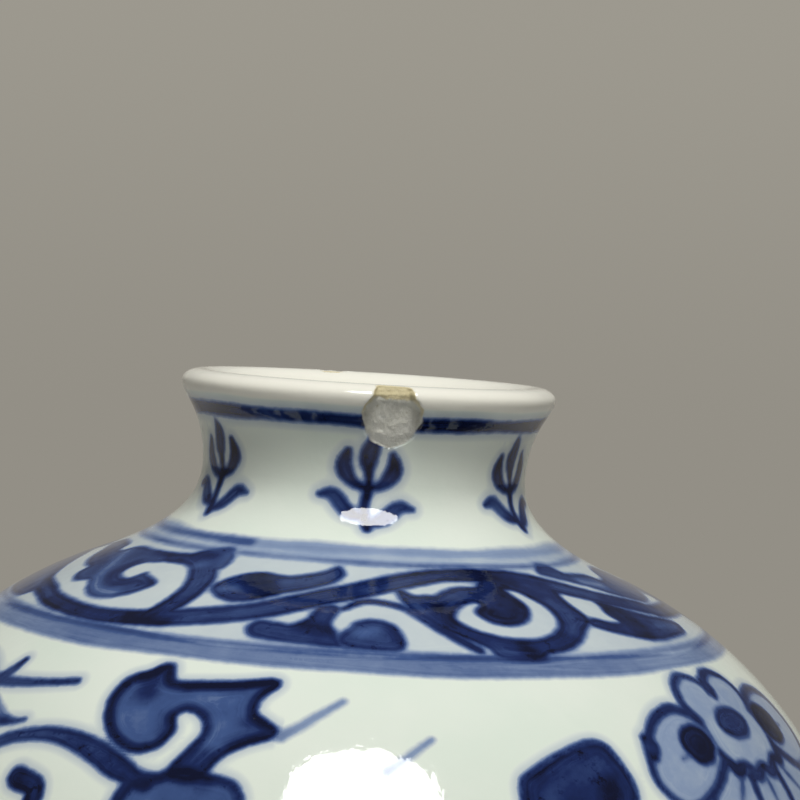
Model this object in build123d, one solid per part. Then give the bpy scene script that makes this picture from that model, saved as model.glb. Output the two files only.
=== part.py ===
from build123d import *
from math import acos, degrees, radians, sin
import os

# Meiping vase, the tall plum vase form: a small rolled mouth on a short waisted neck, a high full
# shoulder, and a body that draws in to a narrow waist over a slightly flared foot. Millimetres,
# +Z up, origin in the middle of the foot ring's resting plane, -Y towards the viewer.
# The vase is thrown in four sections that are luted together with slip, and then coated with
# glaze all over but for the bare foot ring. Sections and slip are cut from one profile of the wall.

# Overall sizes, over the glaze
vase_height = 240.0
shoulder_diameter = 141.0
shoulder_drop = 74.0
waist_diameter = 86.0
waist_height = 27.0
foot_diameter = 91.0
lip_diameter = 50.0
lip_bulge_drop = 1.6
lip_crest_diameter = 45.2
neck_diameter = 43.3
neck_waist_drop = 12.5
throat_diameter = 35.0
throat_top_drop = 8.0
throat_length = 9.0

# The shoulder's arc starts from a circle round the axis, and turns up into the neck at its root
shoulder_circle_diameter = 24.0
root_diameter = 70.0
root_drop = 24.9

# Walls, floor and coat
glaze_thickness = 0.4
shoulder_wall = 4.8
waist_wall = 7.0
floor_thickness = 8.0
floor_turn_reach = 20.0

# Foot ring and the recess under the base
foot_edge_height = 5.0
foot_undercut = 1.2
foot_ring_width = 9.5
foot_bevel = 0.9
recess_depth = 5.5
recess_corner_radius = 2.4
bare_ring_height = 1.8

# Luted seams: the lower one at a share of the rise from the waist to the widest ring
lower_seam_share = 0.44
shoulder_seam_drop = 80.0
neck_seam_drop = 20.5
body_slip_thickness = 1.2
neck_slip_thickness = 0.8

# The chip broken out of the front of the lip, an upright hollow like the side of an egg
chip_width = 9.8
chip_length = 11.0
chip_drop = 4.4
chip_bite = 0.75
chip_lean_angle = 8.0
chip_side_angle = 7.7
front_angle = 90.0

# How far each curve's handles reach, as shares of its own rise or spread
flare_foot_share = 0.3
flare_waist_share = 0.5
flank_top_share = 0.42
flank_waist_share = 0.36
root_reach_share = 0.6
root_rise_share = 0.48
lip_rise_share = 0.64
lip_under_share = 0.17

shoulder_radius = shoulder_diameter / 2
waist_radius = waist_diameter / 2
foot_radius = foot_diameter / 2
lip_radius = lip_diameter / 2
lip_crest_radius = lip_crest_diameter / 2
neck_radius = neck_diameter / 2
throat_radius = throat_diameter / 2
ring_inner_radius = foot_radius - foot_ring_width

shoulder_height = vase_height - shoulder_drop
lip_bulge_height = vase_height - lip_bulge_drop
neck_waist_height = vase_height - neck_waist_drop
throat_top_height = vase_height - throat_top_drop
throat_bottom_height = throat_top_height - throat_length
root_height = vase_height - root_drop
neck_seam_height = vase_height - neck_seam_drop
shoulder_seam_height = vase_height - shoulder_seam_drop
lower_seam_height = waist_height + lower_seam_share * (shoulder_height - waist_height)
floor_height = recess_depth + floor_thickness

# The shoulder's quarter ellipse reaches the root at this angle, and is as tall as that needs
shoulder_circle_radius = shoulder_circle_diameter / 2
shoulder_reach = shoulder_radius - shoulder_circle_radius
root_angle = degrees(acos((root_diameter / 2 - shoulder_circle_radius) / shoulder_reach))
shoulder_rise = (root_height - shoulder_height) / sin(radians(root_angle))


def shoulder_arc(inset):
    """The shoulder, from its widest ring up to the neck's root."""
    centre = (shoulder_circle_radius, shoulder_height)
    return EllipticalCenterArc(
        centre, shoulder_reach - inset, shoulder_rise - inset, start_angle=0, arc_size=root_angle)


def root_curve(shoulder, top_radius, top_height):
    """The hollow turn from the end of the shoulder up to an upright ring above it."""
    start = shoulder @ 1
    handle = start + (shoulder % 1) * (root_reach_share * (start.X - top_radius))
    upright = top_height - root_rise_share * (top_height - start.Y)
    return Bezier(start, handle, (top_radius, upright), (top_radius, top_height))


def flank_curve(low_radius, high_radius):
    """The long side from the waist up to the widest ring, upright at both ends."""
    rise = shoulder_height - waist_height
    low_handle = (low_radius, waist_height + flank_waist_share * rise)
    high_handle = (high_radius, shoulder_height - flank_top_share * rise)
    return Bezier((low_radius, waist_height), low_handle, high_handle, (high_radius, shoulder_height))


def flare_curve(inset):
    """The foot's spread, from the edge of the glaze up to the waist."""
    rise = waist_height - foot_edge_height
    spread = foot_radius - waist_radius
    foot = foot_radius - inset
    waist = waist_radius - inset
    foot_handle = (foot - flare_foot_share * spread, foot_edge_height + flare_foot_share * rise)
    waist_handle = (waist, waist_height - flare_waist_share * rise)
    return Bezier((foot, foot_edge_height), foot_handle, waist_handle, (waist, waist_height))


def lip_lines(inset):
    """The lip, from the neck's narrowest ring over the rolled crest to the end of the throat."""
    rise = lip_bulge_height - neck_waist_height
    neck = neck_radius - inset
    bulge = lip_radius - inset
    throat = throat_radius + inset
    flare = Bezier(
        (neck, neck_waist_height), (neck, neck_waist_height + lip_rise_share * rise),
        (bulge, lip_bulge_height - lip_under_share * rise), (bulge, lip_bulge_height))
    outside = EllipticalCenterArc(
        (lip_crest_radius, lip_bulge_height), bulge - lip_crest_radius, lip_bulge_drop - inset,
        start_angle=0, arc_size=90)
    inside = EllipticalCenterArc(
        (lip_crest_radius, throat_top_height), lip_crest_radius - throat, throat_top_drop - inset,
        start_angle=90, arc_size=90)
    land = Line((throat, throat_top_height), (throat, throat_bottom_height))
    return [flare, outside, inside, land]


def outer_lines(inset):
    """The outside from the foot's edge over the lip to the end of the throat, set in by a coat."""
    shoulder = shoulder_arc(inset)
    root = root_curve(shoulder, neck_radius - inset, neck_waist_height)
    flank = flank_curve(waist_radius - inset, shoulder_radius - inset)
    return [flare_curve(inset), flank, shoulder, root] + lip_lines(inset)


def inner_lines(inset):
    """The hollow from the end of the throat down to the middle of the floor, set in by a coat."""
    shoulder = shoulder_arc(glaze_thickness + shoulder_wall + inset)
    root = root_curve(shoulder, throat_radius + glaze_thickness - inset, throat_bottom_height)
    low_radius = waist_radius - glaze_thickness - waist_wall
    flank = flank_curve(low_radius - inset, (shoulder @ 0).X)
    turn_centre = (low_radius - floor_turn_reach, waist_height)
    turn = EllipticalCenterArc(
        turn_centre, floor_turn_reach - inset, waist_height - floor_height - inset,
        start_angle=-90, arc_size=90)
    floor = Line(turn @ 0, (0, floor_height + inset))
    return [root, shoulder, flank, turn, floor]


def recess_lines(inset):
    """The hollow under the base from its middle to the bare part of the ring, set in by a coat."""
    roof_height = recess_depth - inset
    wall_radius = ring_inner_radius - inset
    return [FilletPolyline(
        (0, roof_height), (wall_radius, roof_height), (wall_radius, bare_ring_height),
        radius=recess_corner_radius - inset)]


def foot_line():
    """The bare foot ring, from the recess round its resting face to the edge of the glaze."""
    edge_radius = foot_radius - glaze_thickness
    heel_radius = edge_radius - foot_undercut
    return Polyline(
        (ring_inner_radius, bare_ring_height), (ring_inner_radius, foot_bevel),
        (ring_inner_radius + foot_bevel, 0), (heel_radius - foot_bevel, 0),
        (heel_radius, foot_bevel), (edge_radius, foot_edge_height))


def wall_face():
    """Half of the porcelain's cross-section, in one piece from the foot ring to the lip."""
    axis_line = Line((0, floor_height), (0, recess_depth))
    return make_face(
        outer_lines(glaze_thickness) + inner_lines(0) + recess_lines(0) + [axis_line, foot_line()])


def band(low, high):
    """A stretch of height that reaches past the wall on both sides."""
    return Pos(0, (low + high) / 2) * Rectangle(2 * shoulder_diameter, high - low)


def turned(face):
    """The solid that a half cross-section sweeps round the vase's axis."""
    return revolve(Plane.XZ * face, axis=Axis.Z)


def coat(lines, *edges):
    """A coat of glaze over the porcelain's own lines, closed by its edges."""
    return turned(make_face(lines(0) + lines(glaze_thickness) + [Line(*edge) for edge in edges]))


def chip():
    """The piece missing from the lip, set into its front at a lean."""
    half_width = chip_width / 2
    right_half = Pos(half_width, 0) * Rectangle(chip_width, chip_length)
    egg = turned(Ellipse(half_width, chip_length / 2) & right_half)
    depth = neck_radius - chip_bite + half_width
    lean = Pos(depth, 0, vase_height - chip_drop) * Rot(0, chip_lean_angle, 0)
    return Rot(0, 0, chip_side_angle - front_angle) * lean * egg


# The wall is cut at each seam's middle height, with its slip's thickness taken from both sections
sections = ["lower_body", "lower_slip", "belly", "shoulder_slip", "shoulder", "neck_slip", "neck"]
seams = [
    (lower_seam_height, body_slip_thickness), (shoulder_seam_height, body_slip_thickness),
    (neck_seam_height, neck_slip_thickness)]
levels = [0]
for height, thickness in seams:
    levels += [height - thickness / 2, height + thickness / 2]
levels.append(vase_height)

wall = wall_face()
pieces = {
    name: turned(wall & band(low, high)) for name, low, high in zip(sections, levels, levels[1:])}

# Each coat ends in a flat edge as wide as the coat is thick, or in the middle of the vase
foot_edge = ((foot_radius, foot_edge_height), (foot_radius - glaze_thickness, foot_edge_height))
throat_edge = (
    (throat_radius, throat_bottom_height), (throat_radius + glaze_thickness, throat_bottom_height))
floor_middle = ((0, floor_height), (0, floor_height + glaze_thickness))
recess_middle = ((0, recess_depth), (0, recess_depth - glaze_thickness))
recess_edge = (
    (ring_inner_radius, bare_ring_height), (ring_inner_radius - glaze_thickness, bare_ring_height))
pieces["outer_glaze"] = coat(outer_lines, foot_edge, throat_edge)
pieces["inner_glaze"] = coat(inner_lines, throat_edge, floor_middle)
pieces["base_glaze"] = coat(recess_lines, recess_middle, recess_edge)

for name in ("neck", "outer_glaze"):
    pieces[name] -= chip()

os.makedirs("parts", exist_ok=True)
for name, solid in pieces.items():
    export_step(solid, f"parts/{name}.step")
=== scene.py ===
from math import cos, pi, radians, sin

import bpy
import numpy as np
from bpy.props import FloatProperty, FloatVectorProperty, IntProperty, PointerProperty
from mathutils import Matrix, Vector


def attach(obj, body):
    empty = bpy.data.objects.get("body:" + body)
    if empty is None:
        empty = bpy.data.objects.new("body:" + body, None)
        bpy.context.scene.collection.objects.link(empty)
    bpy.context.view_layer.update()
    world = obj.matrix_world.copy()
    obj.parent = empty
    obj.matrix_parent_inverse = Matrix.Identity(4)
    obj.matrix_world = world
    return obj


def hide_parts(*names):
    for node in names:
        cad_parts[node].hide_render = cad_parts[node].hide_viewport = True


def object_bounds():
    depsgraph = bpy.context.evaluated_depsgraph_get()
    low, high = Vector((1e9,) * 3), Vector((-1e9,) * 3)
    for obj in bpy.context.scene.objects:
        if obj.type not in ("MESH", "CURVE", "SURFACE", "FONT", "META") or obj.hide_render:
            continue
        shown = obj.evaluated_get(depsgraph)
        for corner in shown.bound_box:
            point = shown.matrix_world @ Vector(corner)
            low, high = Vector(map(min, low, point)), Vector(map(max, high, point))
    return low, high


bl_info = {
    "name": "Meiping vase dressing",
    "version": (1, 0, 0),
    "blender": (4, 5, 0),
    "location": "View3D > Sidebar > Meiping",
    "description": "Dresses a packed meiping vase with its painted glaze, bare clay and studio",
    "category": "Object",
}

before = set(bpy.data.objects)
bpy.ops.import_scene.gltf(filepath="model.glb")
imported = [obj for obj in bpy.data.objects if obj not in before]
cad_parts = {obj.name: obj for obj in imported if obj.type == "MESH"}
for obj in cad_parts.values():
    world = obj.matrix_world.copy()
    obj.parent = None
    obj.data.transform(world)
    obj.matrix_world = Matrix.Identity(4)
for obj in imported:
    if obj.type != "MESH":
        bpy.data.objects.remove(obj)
CAD_BOX = [list(corner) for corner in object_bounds()]

# The frame is in metres. The painting is laid out in millimetres and degrees, as on the real vase.
MM = 0.001
FULL_TURN = 2 * pi


def plain(red, green, blue):
    """A colour given as it looks on a screen, 0 to 255, as the linear colour that shaders use."""
    shares = np.array([red, green, blue]) / 255
    return tuple(np.where(shares <= 0.04045, shares / 12.92, ((shares + 0.055) / 1.055) ** 2.4))


# Sizes and colours that a user would change


class CoatSettings(bpy.types.PropertyGroup):
    """How finely the painted coat is meshed, and how its chip is roughened."""

    front_detail: FloatProperty(
        name="Front detail", description="Least mesh cell on the upper front, in mm",
        default=0.3, min=0.1)
    back_detail: FloatProperty(
        name="Back detail", description="Least mesh cell elsewhere, in mm", default=0.55, min=0.1)
    levels: IntProperty(
        name="Levels", description="How often a mesh cell may be cut in four", default=4, max=5)
    chip_roughness: FloatProperty(
        name="Chip roughness", description="Depth of the broken clay's ripples, in mm",
        default=0.16, min=0)


class CobaltSettings(bpy.types.PropertyGroup):
    """The blues of the painting, from a thin wash to a heaped spot, and the glaze over them."""

    glaze: FloatVectorProperty(
        name="Glaze", description="Clear glaze over white porcelain", subtype="COLOR",
        default=plain(224, 231, 220))
    # lighter than the glaze partly as painted light on the lip's top, and creamier as thin glaze
    lip: FloatVectorProperty(
        name="Lip", description="Thin glaze on the lip", subtype="COLOR",
        default=plain(238, 236, 224))
    pale: FloatVectorProperty(
        name="Pale wash", description="Thinnest cobalt wash", subtype="COLOR",
        default=plain(135, 153, 182))
    middle: FloatVectorProperty(
        name="Middle blue", description="Body of a brush stroke", subtype="COLOR",
        default=plain(62, 85, 134))
    deep: FloatVectorProperty(
        name="Deep blue", description="Outlines and stroke edges", subtype="COLOR",
        default=plain(25, 40, 87))
    heaped: FloatVectorProperty(
        name="Heaped blue", description="Spots where the cobalt gathers", subtype="COLOR",
        default=plain(12, 17, 44))
    bleed: FloatProperty(
        name="Bleed", description="How far an edge melts into the glaze, in mm", default=1.4)
    halo: FloatProperty(
        name="Halo", description="Strength of the pale blue that drifts out of a heavy stroke",
        default=0.15)


class ClaySettings(bpy.types.PropertyGroup):
    """The bare porcelain of the chip and the foot ring."""

    bare: FloatVectorProperty(
        name="Bare porcelain", description="Broken or unglazed clay", subtype="COLOR",
        default=plain(200, 199, 188))
    # the stain's colour, also used for the painted shade up the chip's flanks
    stain: FloatVectorProperty(
        name="Stain", description="Old dirt held by the clay", subtype="COLOR",
        default=plain(208, 196, 156))
    burnt: FloatVectorProperty(
        name="Burnt edge", description="Rust line where glaze meets the foot", subtype="COLOR",
        default=plain(176, 120, 74))


class StageSettings(bpy.types.PropertyGroup):
    """Camera, backdrop and lamps."""

    lens: FloatProperty(
        name="Lens", description="Focal length on a 36 mm sensor, in mm", default=134.55)
    camera_distance: FloatProperty(
        name="Camera distance", description="From the lens to the rim", default=0.4,
        unit="LENGTH")
    tilt: FloatProperty(
        name="Tilt", description="How far the camera looks down", default=radians(2.35),
        subtype="ANGLE")
    roll: FloatProperty(
        name="Roll", description="How far the camera leans", default=radians(3.49),
        subtype="ANGLE")
    backdrop: FloatVectorProperty(
        name="Backdrop", description="Colour behind the vase", subtype="COLOR",
        default=plain(147, 143, 134))
    floor: FloatVectorProperty(
        name="Floor", description="Colour of the floor under the vase", subtype="COLOR",
        default=plain(205, 202, 194))
    upper_backdrop: FloatVectorProperty(
        name="Upper backdrop", description="Colour to which the backdrop lightens upwards",
        subtype="COLOR", default=plain(157, 153, 143))
    window_power: FloatProperty(
        name="Window power", description="Power of the big soft lamp, in watts", default=18.8)
    gloss_power: FloatProperty(
        name="Gloss power", description="Power of the window as the glaze reflects it, in watts",
        default=19.0)
    fill_power: FloatProperty(
        name="Fill power", description="Power of the lamp behind the vase, in watts", default=9.0)
    room_light: FloatProperty(
        name="Room light", description="Strength of the light from all round", default=0.1)


# The wall's line and the chart on which the coat is painted


class Wall:
    """The coat's outer line from the end of the throat over the lip to the foot, in mm, with
    arc lengths measured from the crest of the lip. Its chart has the angle round the vase one way
    and fall the other: each step along the line divided by the radius there, so that a small
    shape keeps its form wherever it is painted."""

    SAMPLES = 9000
    SEAM = 0.002  # mm from the seam's plane within which a corner of the mesh lies on it
    ROLL = np.radians([90, 60, 30])  # turns of the rounded edge in which the coat ends

    def __init__(self, node):
        line = self.smooth(self.seam_line(node))
        steps = np.hypot(*np.diff(line, axis=0).T)
        length = np.concatenate([[0], np.cumsum(steps)])
        crest = length[line[:, 1].argmax()]
        middle_radius = (line[1:, 0] + line[:-1, 0]) / 2
        fall = np.concatenate([[0], np.cumsum(steps / middle_radius)])
        self.lengths = length - crest
        self.falls = fall - np.interp(crest, length, fall)
        self.line = line
        along = np.gradient(line, axis=0)
        along /= np.hypot(*along.T)[:, None]
        self.outward = np.stack([-along[:, 1], along[:, 0]], 1)

    def seam_line(self, node):
        """The line where the coat's mesh closes, from the throat to the foot, as radius and
        height."""
        mesh = node.data
        places = np.empty(len(mesh.vertices) * 3, np.float32)
        mesh.vertices.foreach_get("co", places)
        places = places.reshape(-1, 3).astype(float) / MM
        edges = np.empty(len(mesh.edges) * 2, np.int32)
        mesh.edges.foreach_get("vertices", edges)
        edges = edges.reshape(-1, 2)
        on_seam = (abs(places[:, 1]) < self.SEAM) & (places[:, 0] > 0)
        edges = edges[on_seam[edges].all(1)]
        keys = [tuple(np.round(place, 3)) for place in places[:, [0, 2]]]
        links = {}
        for first, second in edges:
            if keys[first] != keys[second]:
                links.setdefault(keys[first], []).append(keys[second])
                links.setdefault(keys[second], []).append(keys[first])
        lowest = min(key[1] for key in links)
        inner, *_, foot = sorted(key for key in links if key[1] == lowest)
        line = [foot]
        after = max(links[foot], key=lambda key: key[1])
        while True:
            line.append(after)
            after = next(key for key in links[after] if key not in line[-2:])
            # past the foot's own few points, a level step outward is the throat's end
            throat_end = len(line) > 9 and after[1] == line[-1][1] and after[0] > line[-1][0]
            if throat_end or after == foot:
                break
        thickness = foot[0] - inner[0]
        roll = [
            (inner[0] + thickness * cos(turn), lowest + thickness * (1 - sin(turn)))
            for turn in self.ROLL]
        above = [key for key in line if key[1] > lowest + thickness]
        return np.array((roll + above)[::-1])

    def smooth(self, points):
        """Even samples of the smooth line through points, which passes each one at the slope of
        its neighbours."""
        knots = np.concatenate([[0], np.cumsum(np.hypot(*np.diff(points, axis=0).T))])
        gaps = np.diff(knots)[:, None]
        slopes = np.diff(points, axis=0) / gaps
        inner = (slopes[:-1] * gaps[1:] + slopes[1:] * gaps[:-1]) / (gaps[1:] + gaps[:-1])
        tangents = np.concatenate([slopes[:1], inner, slopes[-1:]])
        at = np.linspace(0, knots[-1], self.SAMPLES)
        i = np.clip(np.searchsorted(knots, at) - 1, 0, len(gaps) - 1)
        t = ((at - knots[i]) / gaps[i, 0])[:, None]
        start, end = points[i], points[i + 1]
        out, into = tangents[i] * gaps[i], tangents[i + 1] * gaps[i]
        return (
            start * (2 * t**3 - 3 * t**2 + 1) + out * (t**3 - 2 * t**2 + t)
            + end * (3 * t**2 - 2 * t**3) + into * (t**3 - t**2))

    def fall_at(self, length):
        """The fall of a length along the wall from the lip's crest."""
        return np.interp(length, self.lengths, self.falls)

    def length_at(self, fall):
        """The length along the wall of a fall."""
        return np.interp(fall, self.falls, self.lengths)

    def radius(self, fall):
        return np.interp(fall, self.falls, self.line[:, 0])

    def height(self, fall):
        return np.interp(fall, self.falls, self.line[:, 1])

    def length_at_height(self, height):
        """The arc length of a height under the lip."""
        outside = self.lengths > 0
        return np.interp(-height, -self.line[outside, 1], self.lengths[outside])

    def normals(self, fall):
        """The radial and the upward part of the way out of the wall."""
        radial = np.interp(fall, self.falls, self.outward[:, 0])
        upward = np.interp(fall, self.falls, self.outward[:, 1])
        size = np.hypot(radial, upward)
        return radial / size, upward / size


# Brush marks

LAYERS = ("wash", "line")
FINE_STEPS = 6  # points drawn for each one that is given
FILLET = 0.6  # mm, the reach of the wet cobalt that fills a corner between two edges
FAR = 2.0  # mm, past which a place's distance from an edge no longer matters
UNMARKED = 99.0  # mm, the distance from an edge that a place has before any mark is laid
TONE_BLEND = 1.3  # mm, over which one stroke's tone passes into the next one's
SHADE_BLEND = 2.2  # mm, over which a patch of thicker or thinner cobalt fades out


def rounded(points, closed):
    """Points on the smooth line that a loaded brush draws through the given ones."""
    points = np.asarray(points, float)
    if closed:
        padded = np.concatenate([points[-1:], points, points[:2]])
    else:
        padded = np.concatenate(
            [2 * points[:1] - points[1:2], points, 2 * points[-1:] - points[-2:-1]])
    t = np.arange(FINE_STEPS)[:, None] / FINE_STEPS
    runs = []
    for a, b, c, d in zip(padded, padded[1:], padded[2:], padded[3:]):
        runs.append(
            b + (c - a) * t / 2 + (2 * a - 5 * b + 4 * c - d) * t**2 / 2
            + (3 * b - a - 3 * c + d) * t**3 / 2)
    line = np.concatenate(runs)
    return line if closed else np.concatenate([line, points[-1:]])


def eased(share):
    """A share from 0 to 1 that starts and ends gently."""
    share = np.clip(share, 0, 1)
    return share * share * (3 - 2 * share)


def merged(first, second):
    """The nearer of two edges in mm, with the corner between them filled as wet cobalt fills it."""
    overlap = np.maximum(FILLET - abs(first - second), 0)
    return np.minimum(first, second) - overlap**2 / (4 * FILLET)


class Mark:
    """One stroke or filled shape on the chart. Each point of its line has the angle, the fall,
    half the brush's width in mm and the tone, from 0 for bare glaze to 1 for the darkest blue."""

    def __init__(self, layer, line, closed=False, filled=False):
        self.layer, self.filled = layer, filled
        self.starts = line if closed else line[:-1]
        self.ends = np.roll(line, -1, 0) if closed else line[1:]
        self.low, self.high = line[:, 1].min(), line[:, 1].max()
        self.middle = (line[:, 0].min() + line[:, 0].max()) / 2
        self.half_span = np.ptp(line[:, 0]) / 2
        self.widest = max(line[:, 2].max(), 0)

    def measure(self, angles, falls, radii):
        """How far outside the mark each place is, in mm, and the tone of its nearest part."""
        gap = np.full(len(angles), np.inf)
        tone = np.zeros(len(angles))
        inside = np.zeros(len(angles), bool)
        for start, end in zip(self.starts, self.ends):
            run = end[:2] - start[:2]
            size = max(run @ run, 1e-16)  # never nothing, also where two points coincide
            x, y = angles - start[0], falls - start[1]
            share = np.clip((x * run[0] + y * run[1]) / size, 0, 1)
            away = np.hypot(x - share * run[0], y - share * run[1]) * radii
            away -= start[2] + share * (end[2] - start[2])
            nearer = away < gap
            gap = np.where(nearer, away, gap)
            tone = np.where(nearer, start[3] + share * (end[3] - start[3]), tone)
            if self.filled and run[1] != 0:
                crosses = (start[1] > falls) != (end[1] > falls)
                inside ^= crosses & (x < y * run[0] / run[1])
        if self.filled:
            gap = np.where(inside, -gap, gap)
        return gap, tone


class Girdle:
    """A stroke right round the vase, measured run by run."""

    RUN = 2 * FINE_STEPS  # how many steps of the line make one run

    def __init__(self, layer, line):
        self.layer = layer
        self.runs = [
            Mark(layer, line[start:start + self.RUN + 1])
            for start in range(0, len(line) - 1, self.RUN)]


class Ring:
    """A painted line all the way round, a little uneven as the wheel turned under the brush. The
    brush is loaded at one angle, where the line starts dark, and runs drier as it goes round."""

    SWAY = 0.09  # mm that the line strays up and down
    SWELL = 0.1  # share of its width that the line gains or loses
    START, DRYING = 0.06, 1.4  # radians over which the fresh load shows, and is then used up

    def __init__(self, layer, length, width, tone, loaded, fresh, seed):
        self.layer, self.length, self.width, self.tone = layer, length, width, tone
        self.loaded, self.fresh, self.seed = radians(loaded), fresh, seed

    def measure(self, angles, lengths):
        sway = np.sin(3 * angles + self.seed) + 0.6 * np.sin(7 * angles + 2.3 * self.seed)
        swell = np.sin(5 * angles + 1.7 * self.seed) + 0.5 * np.sin(13 * angles - self.seed)
        half_width = self.width / 2 * (1 + self.SWELL * swell)
        turned = (self.loaded - angles) % FULL_TURN
        fresh = self.fresh * np.exp(-turned / self.DRYING) * eased(turned / self.START)
        tone = self.tone * (1 + 0.07 * np.sin(2 * angles + self.seed) + 0.05 * swell) + fresh
        return abs(lengths - self.length - self.SWAY * sway) - half_width, tone


class Painting:
    """All brush marks on the coat, in the order in which they are painted."""

    HAND_SEED = 7
    SHORT = 5  # points that a short stroke is drawn with

    def __init__(self, wall):
        self.wall, self.marks = wall, []
        self.hand = np.random.default_rng(self.HAND_SEED)

    def ring(self, length, width, tone, layer="line", loaded=180.0, fresh=0.0):
        """A line round the vase, with the angle in degrees at which its brush was loaded."""
        seed = len(self.marks) * 1.3
        self.marks.append(Ring(layer, length, width, tone, loaded, fresh, seed))

    def stroke(self, place, points, width, tone, layer="line", tip=0.35, tail=0.35):
        """A brush stroke of a width, thinned to shares of it at its tip and tail, or of as many
        widths as it has points."""
        along = np.linspace(0, 1, len(points))
        if np.ndim(width) == 0:
            width = width * np.interp(along, [0, 0.28, 0.72, 1], [tip, 1, 1, tail])
        tones = tone * (1 + 0.1 * np.cos(FULL_TURN * along)) * self.hand.uniform(0.93, 1.07)
        if len(points) < self.SHORT - 1:
            fine = np.linspace(0, 1, self.SHORT)
            width = np.interp(fine, along, width)
            tones = np.interp(fine, along, tones)
            line = rounded(points, False)
            points = line[np.linspace(0, len(line) - 1, self.SHORT).round().astype(int)]
        self.add(layer, place(points), np.asarray(width) * place.size / 2, tones)

    def shape(self, place, points, tone, layer="line"):
        """An area filled with a loaded brush."""
        spots = place(points)
        tones = np.full(len(spots), tone * self.hand.uniform(0.94, 1.06))
        self.add(layer, spots, np.zeros(len(spots)), tones, closed=True, filled=True)

    def outline(self, place, points, width, tone):
        """A closed drawn line, pressed harder on one side."""
        spots = place(points)
        press = 1 + 0.25 * np.cos(np.linspace(0, FULL_TURN, len(spots), endpoint=False))
        halves = width * place.size / 2 * press
        self.add("line", spots, halves, np.full(len(spots), tone), closed=True)

    def shade(self, place, *patches):
        """Patches where the cobalt lies thicker, or thinner where the change is negative. Each is
        given as the points of its middle line, its width and the change."""
        for points, width, change in patches:
            halves = np.full(len(points), width * place.size / 2)
            self.add("shade", place(points), halves, np.full(len(points), change))

    def clear_shape(self, place, points, layer="clear"):
        """An area left white, or only free of drawn lines."""
        spots = place(points)
        empty = np.zeros(len(spots))
        self.add(layer, spots, empty, empty, closed=True, filled=True)

    def girdle(self, points, tone):
        """A stroke right round the vase, through points given as degrees, length and width in
        mm."""
        angles, lengths, widths = np.asarray(points, float).T
        tones = tone * (1 + 0.05 * np.sin(np.radians(angles * 4)))
        knots = np.column_stack(
            [np.radians(angles), self.wall.fall_at(lengths), widths / 2, tones])
        turn = np.array([FULL_TURN, 0, 0, 0])
        line = rounded(np.concatenate([knots[-2:] - turn, knots, knots[:3] + turn]), False)
        line = line[2 * FINE_STEPS:(2 + len(knots)) * FINE_STEPS + 1]
        self.marks.append(Girdle("line", line))

    def add(self, layer, spots, halves, tones, closed=False, filled=False):
        line = rounded(np.column_stack([spots, halves, tones]), closed)
        self.marks.append(Mark(layer, line, closed, filled))

    def measure(self, angles, falls, reach):
        """Each layer's distance from its nearest edge in mm, negative inside, with its tone, and
        the change in the cobalt's thickness with the distance from the edge of that change."""
        radii, lengths = self.wall.radius(falls), self.wall.length_at(falls)
        gaps = {layer: np.full(len(angles), UNMARKED) for layer in (*LAYERS, "shade")}
        tones = {layer: np.full(len(angles), 0.5) for layer in LAYERS}
        tones["shade"] = np.zeros(len(angles))
        order = np.argsort(falls, kind="stable")
        sorted_falls = falls[order]

        def measured(mark):
            near = self.near(mark, angles, sorted_falls, order, reach)
            turned = (angles[near] - mark.middle + pi) % FULL_TURN - pi + mark.middle
            return near, *mark.measure(turned, falls[near], radii[near])

        for mark in self.marks:
            if isinstance(mark, Ring):
                near = slice(None)
                gap, tone = mark.measure(angles, lengths)
            elif isinstance(mark, Girdle):
                gap = np.full(len(angles), UNMARKED)
                tone = np.zeros(len(angles))
                for run in mark.runs:
                    near, run_gap, run_tone = measured(run)
                    nearer = run_gap < gap[near]
                    gap[near] = np.where(nearer, run_gap, gap[near])
                    tone[near] = np.where(nearer, run_tone, tone[near])
                near = slice(None)
            else:
                near, gap, tone = measured(mark)
            if mark.layer.startswith("clear"):
                for layer in LAYERS if mark.layer == "clear" else LAYERS[1:]:
                    gaps[layer][near] = -merged(-gaps[layer][near], gap)
            elif mark.layer == "shade":
                share = eased(0.5 - gap / SHADE_BLEND)
                tones["shade"][near] += (tone - tones["shade"][near]) * share
                gaps["shade"][near] = np.minimum(gaps["shade"][near], abs(gap))
            else:
                before = gaps[mark.layer][near]
                share = eased(0.5 + (before - gap) / TONE_BLEND)
                tones[mark.layer][near] += (tone - tones[mark.layer][near]) * share
                gaps[mark.layer][near] = merged(before, gap)
        return gaps, tones

    def near(self, mark, angles, sorted_falls, order, reach):
        """The places within reach of a mark."""
        least = self.wall.radius(np.array([mark.low, mark.high])).min()
        margin = (reach + mark.widest) / (0.9 * least)
        first = np.searchsorted(sorted_falls, mark.low - margin)
        last = np.searchsorted(sorted_falls, mark.high + margin)
        near = order[first:last]
        turned = (angles[near] - mark.middle + pi) % FULL_TURN - pi
        return near[abs(turned) < mark.half_span + margin]


class Spot:
    """A place on the chart for a motif drawn in mm, with x round the vase and y down it."""

    def __init__(self, wall, angle, length, size=1.0, lean=0.0, mirror=False):
        self.turn, self.fall = radians(angle), wall.fall_at(length)
        self.scale = size / wall.radius(self.fall)
        self.size, self.lean, self.side = size, radians(lean), -1 if mirror else 1

    def __call__(self, points):
        x, y = np.asarray(points, float).T
        x = x * self.side
        across = x * cos(self.lean) - y * sin(self.lean)
        down = x * sin(self.lean) + y * cos(self.lean)
        return np.column_stack([self.turn + across * self.scale, self.fall + down * self.scale])


class Border:
    """A place for a border's motif, drawn in degrees round the vase and in mm along its wall from
    the lip's crest."""

    size = 1.0

    def __init__(self, wall, angle):
        self.wall, self.angle = wall, angle

    def __call__(self, points):
        turns, lengths = np.asarray(points, float).T
        return np.column_stack([np.radians(self.angle + turns), self.wall.fall_at(lengths)])


# Motifs, each drawn once and painted wherever it repeats


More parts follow.
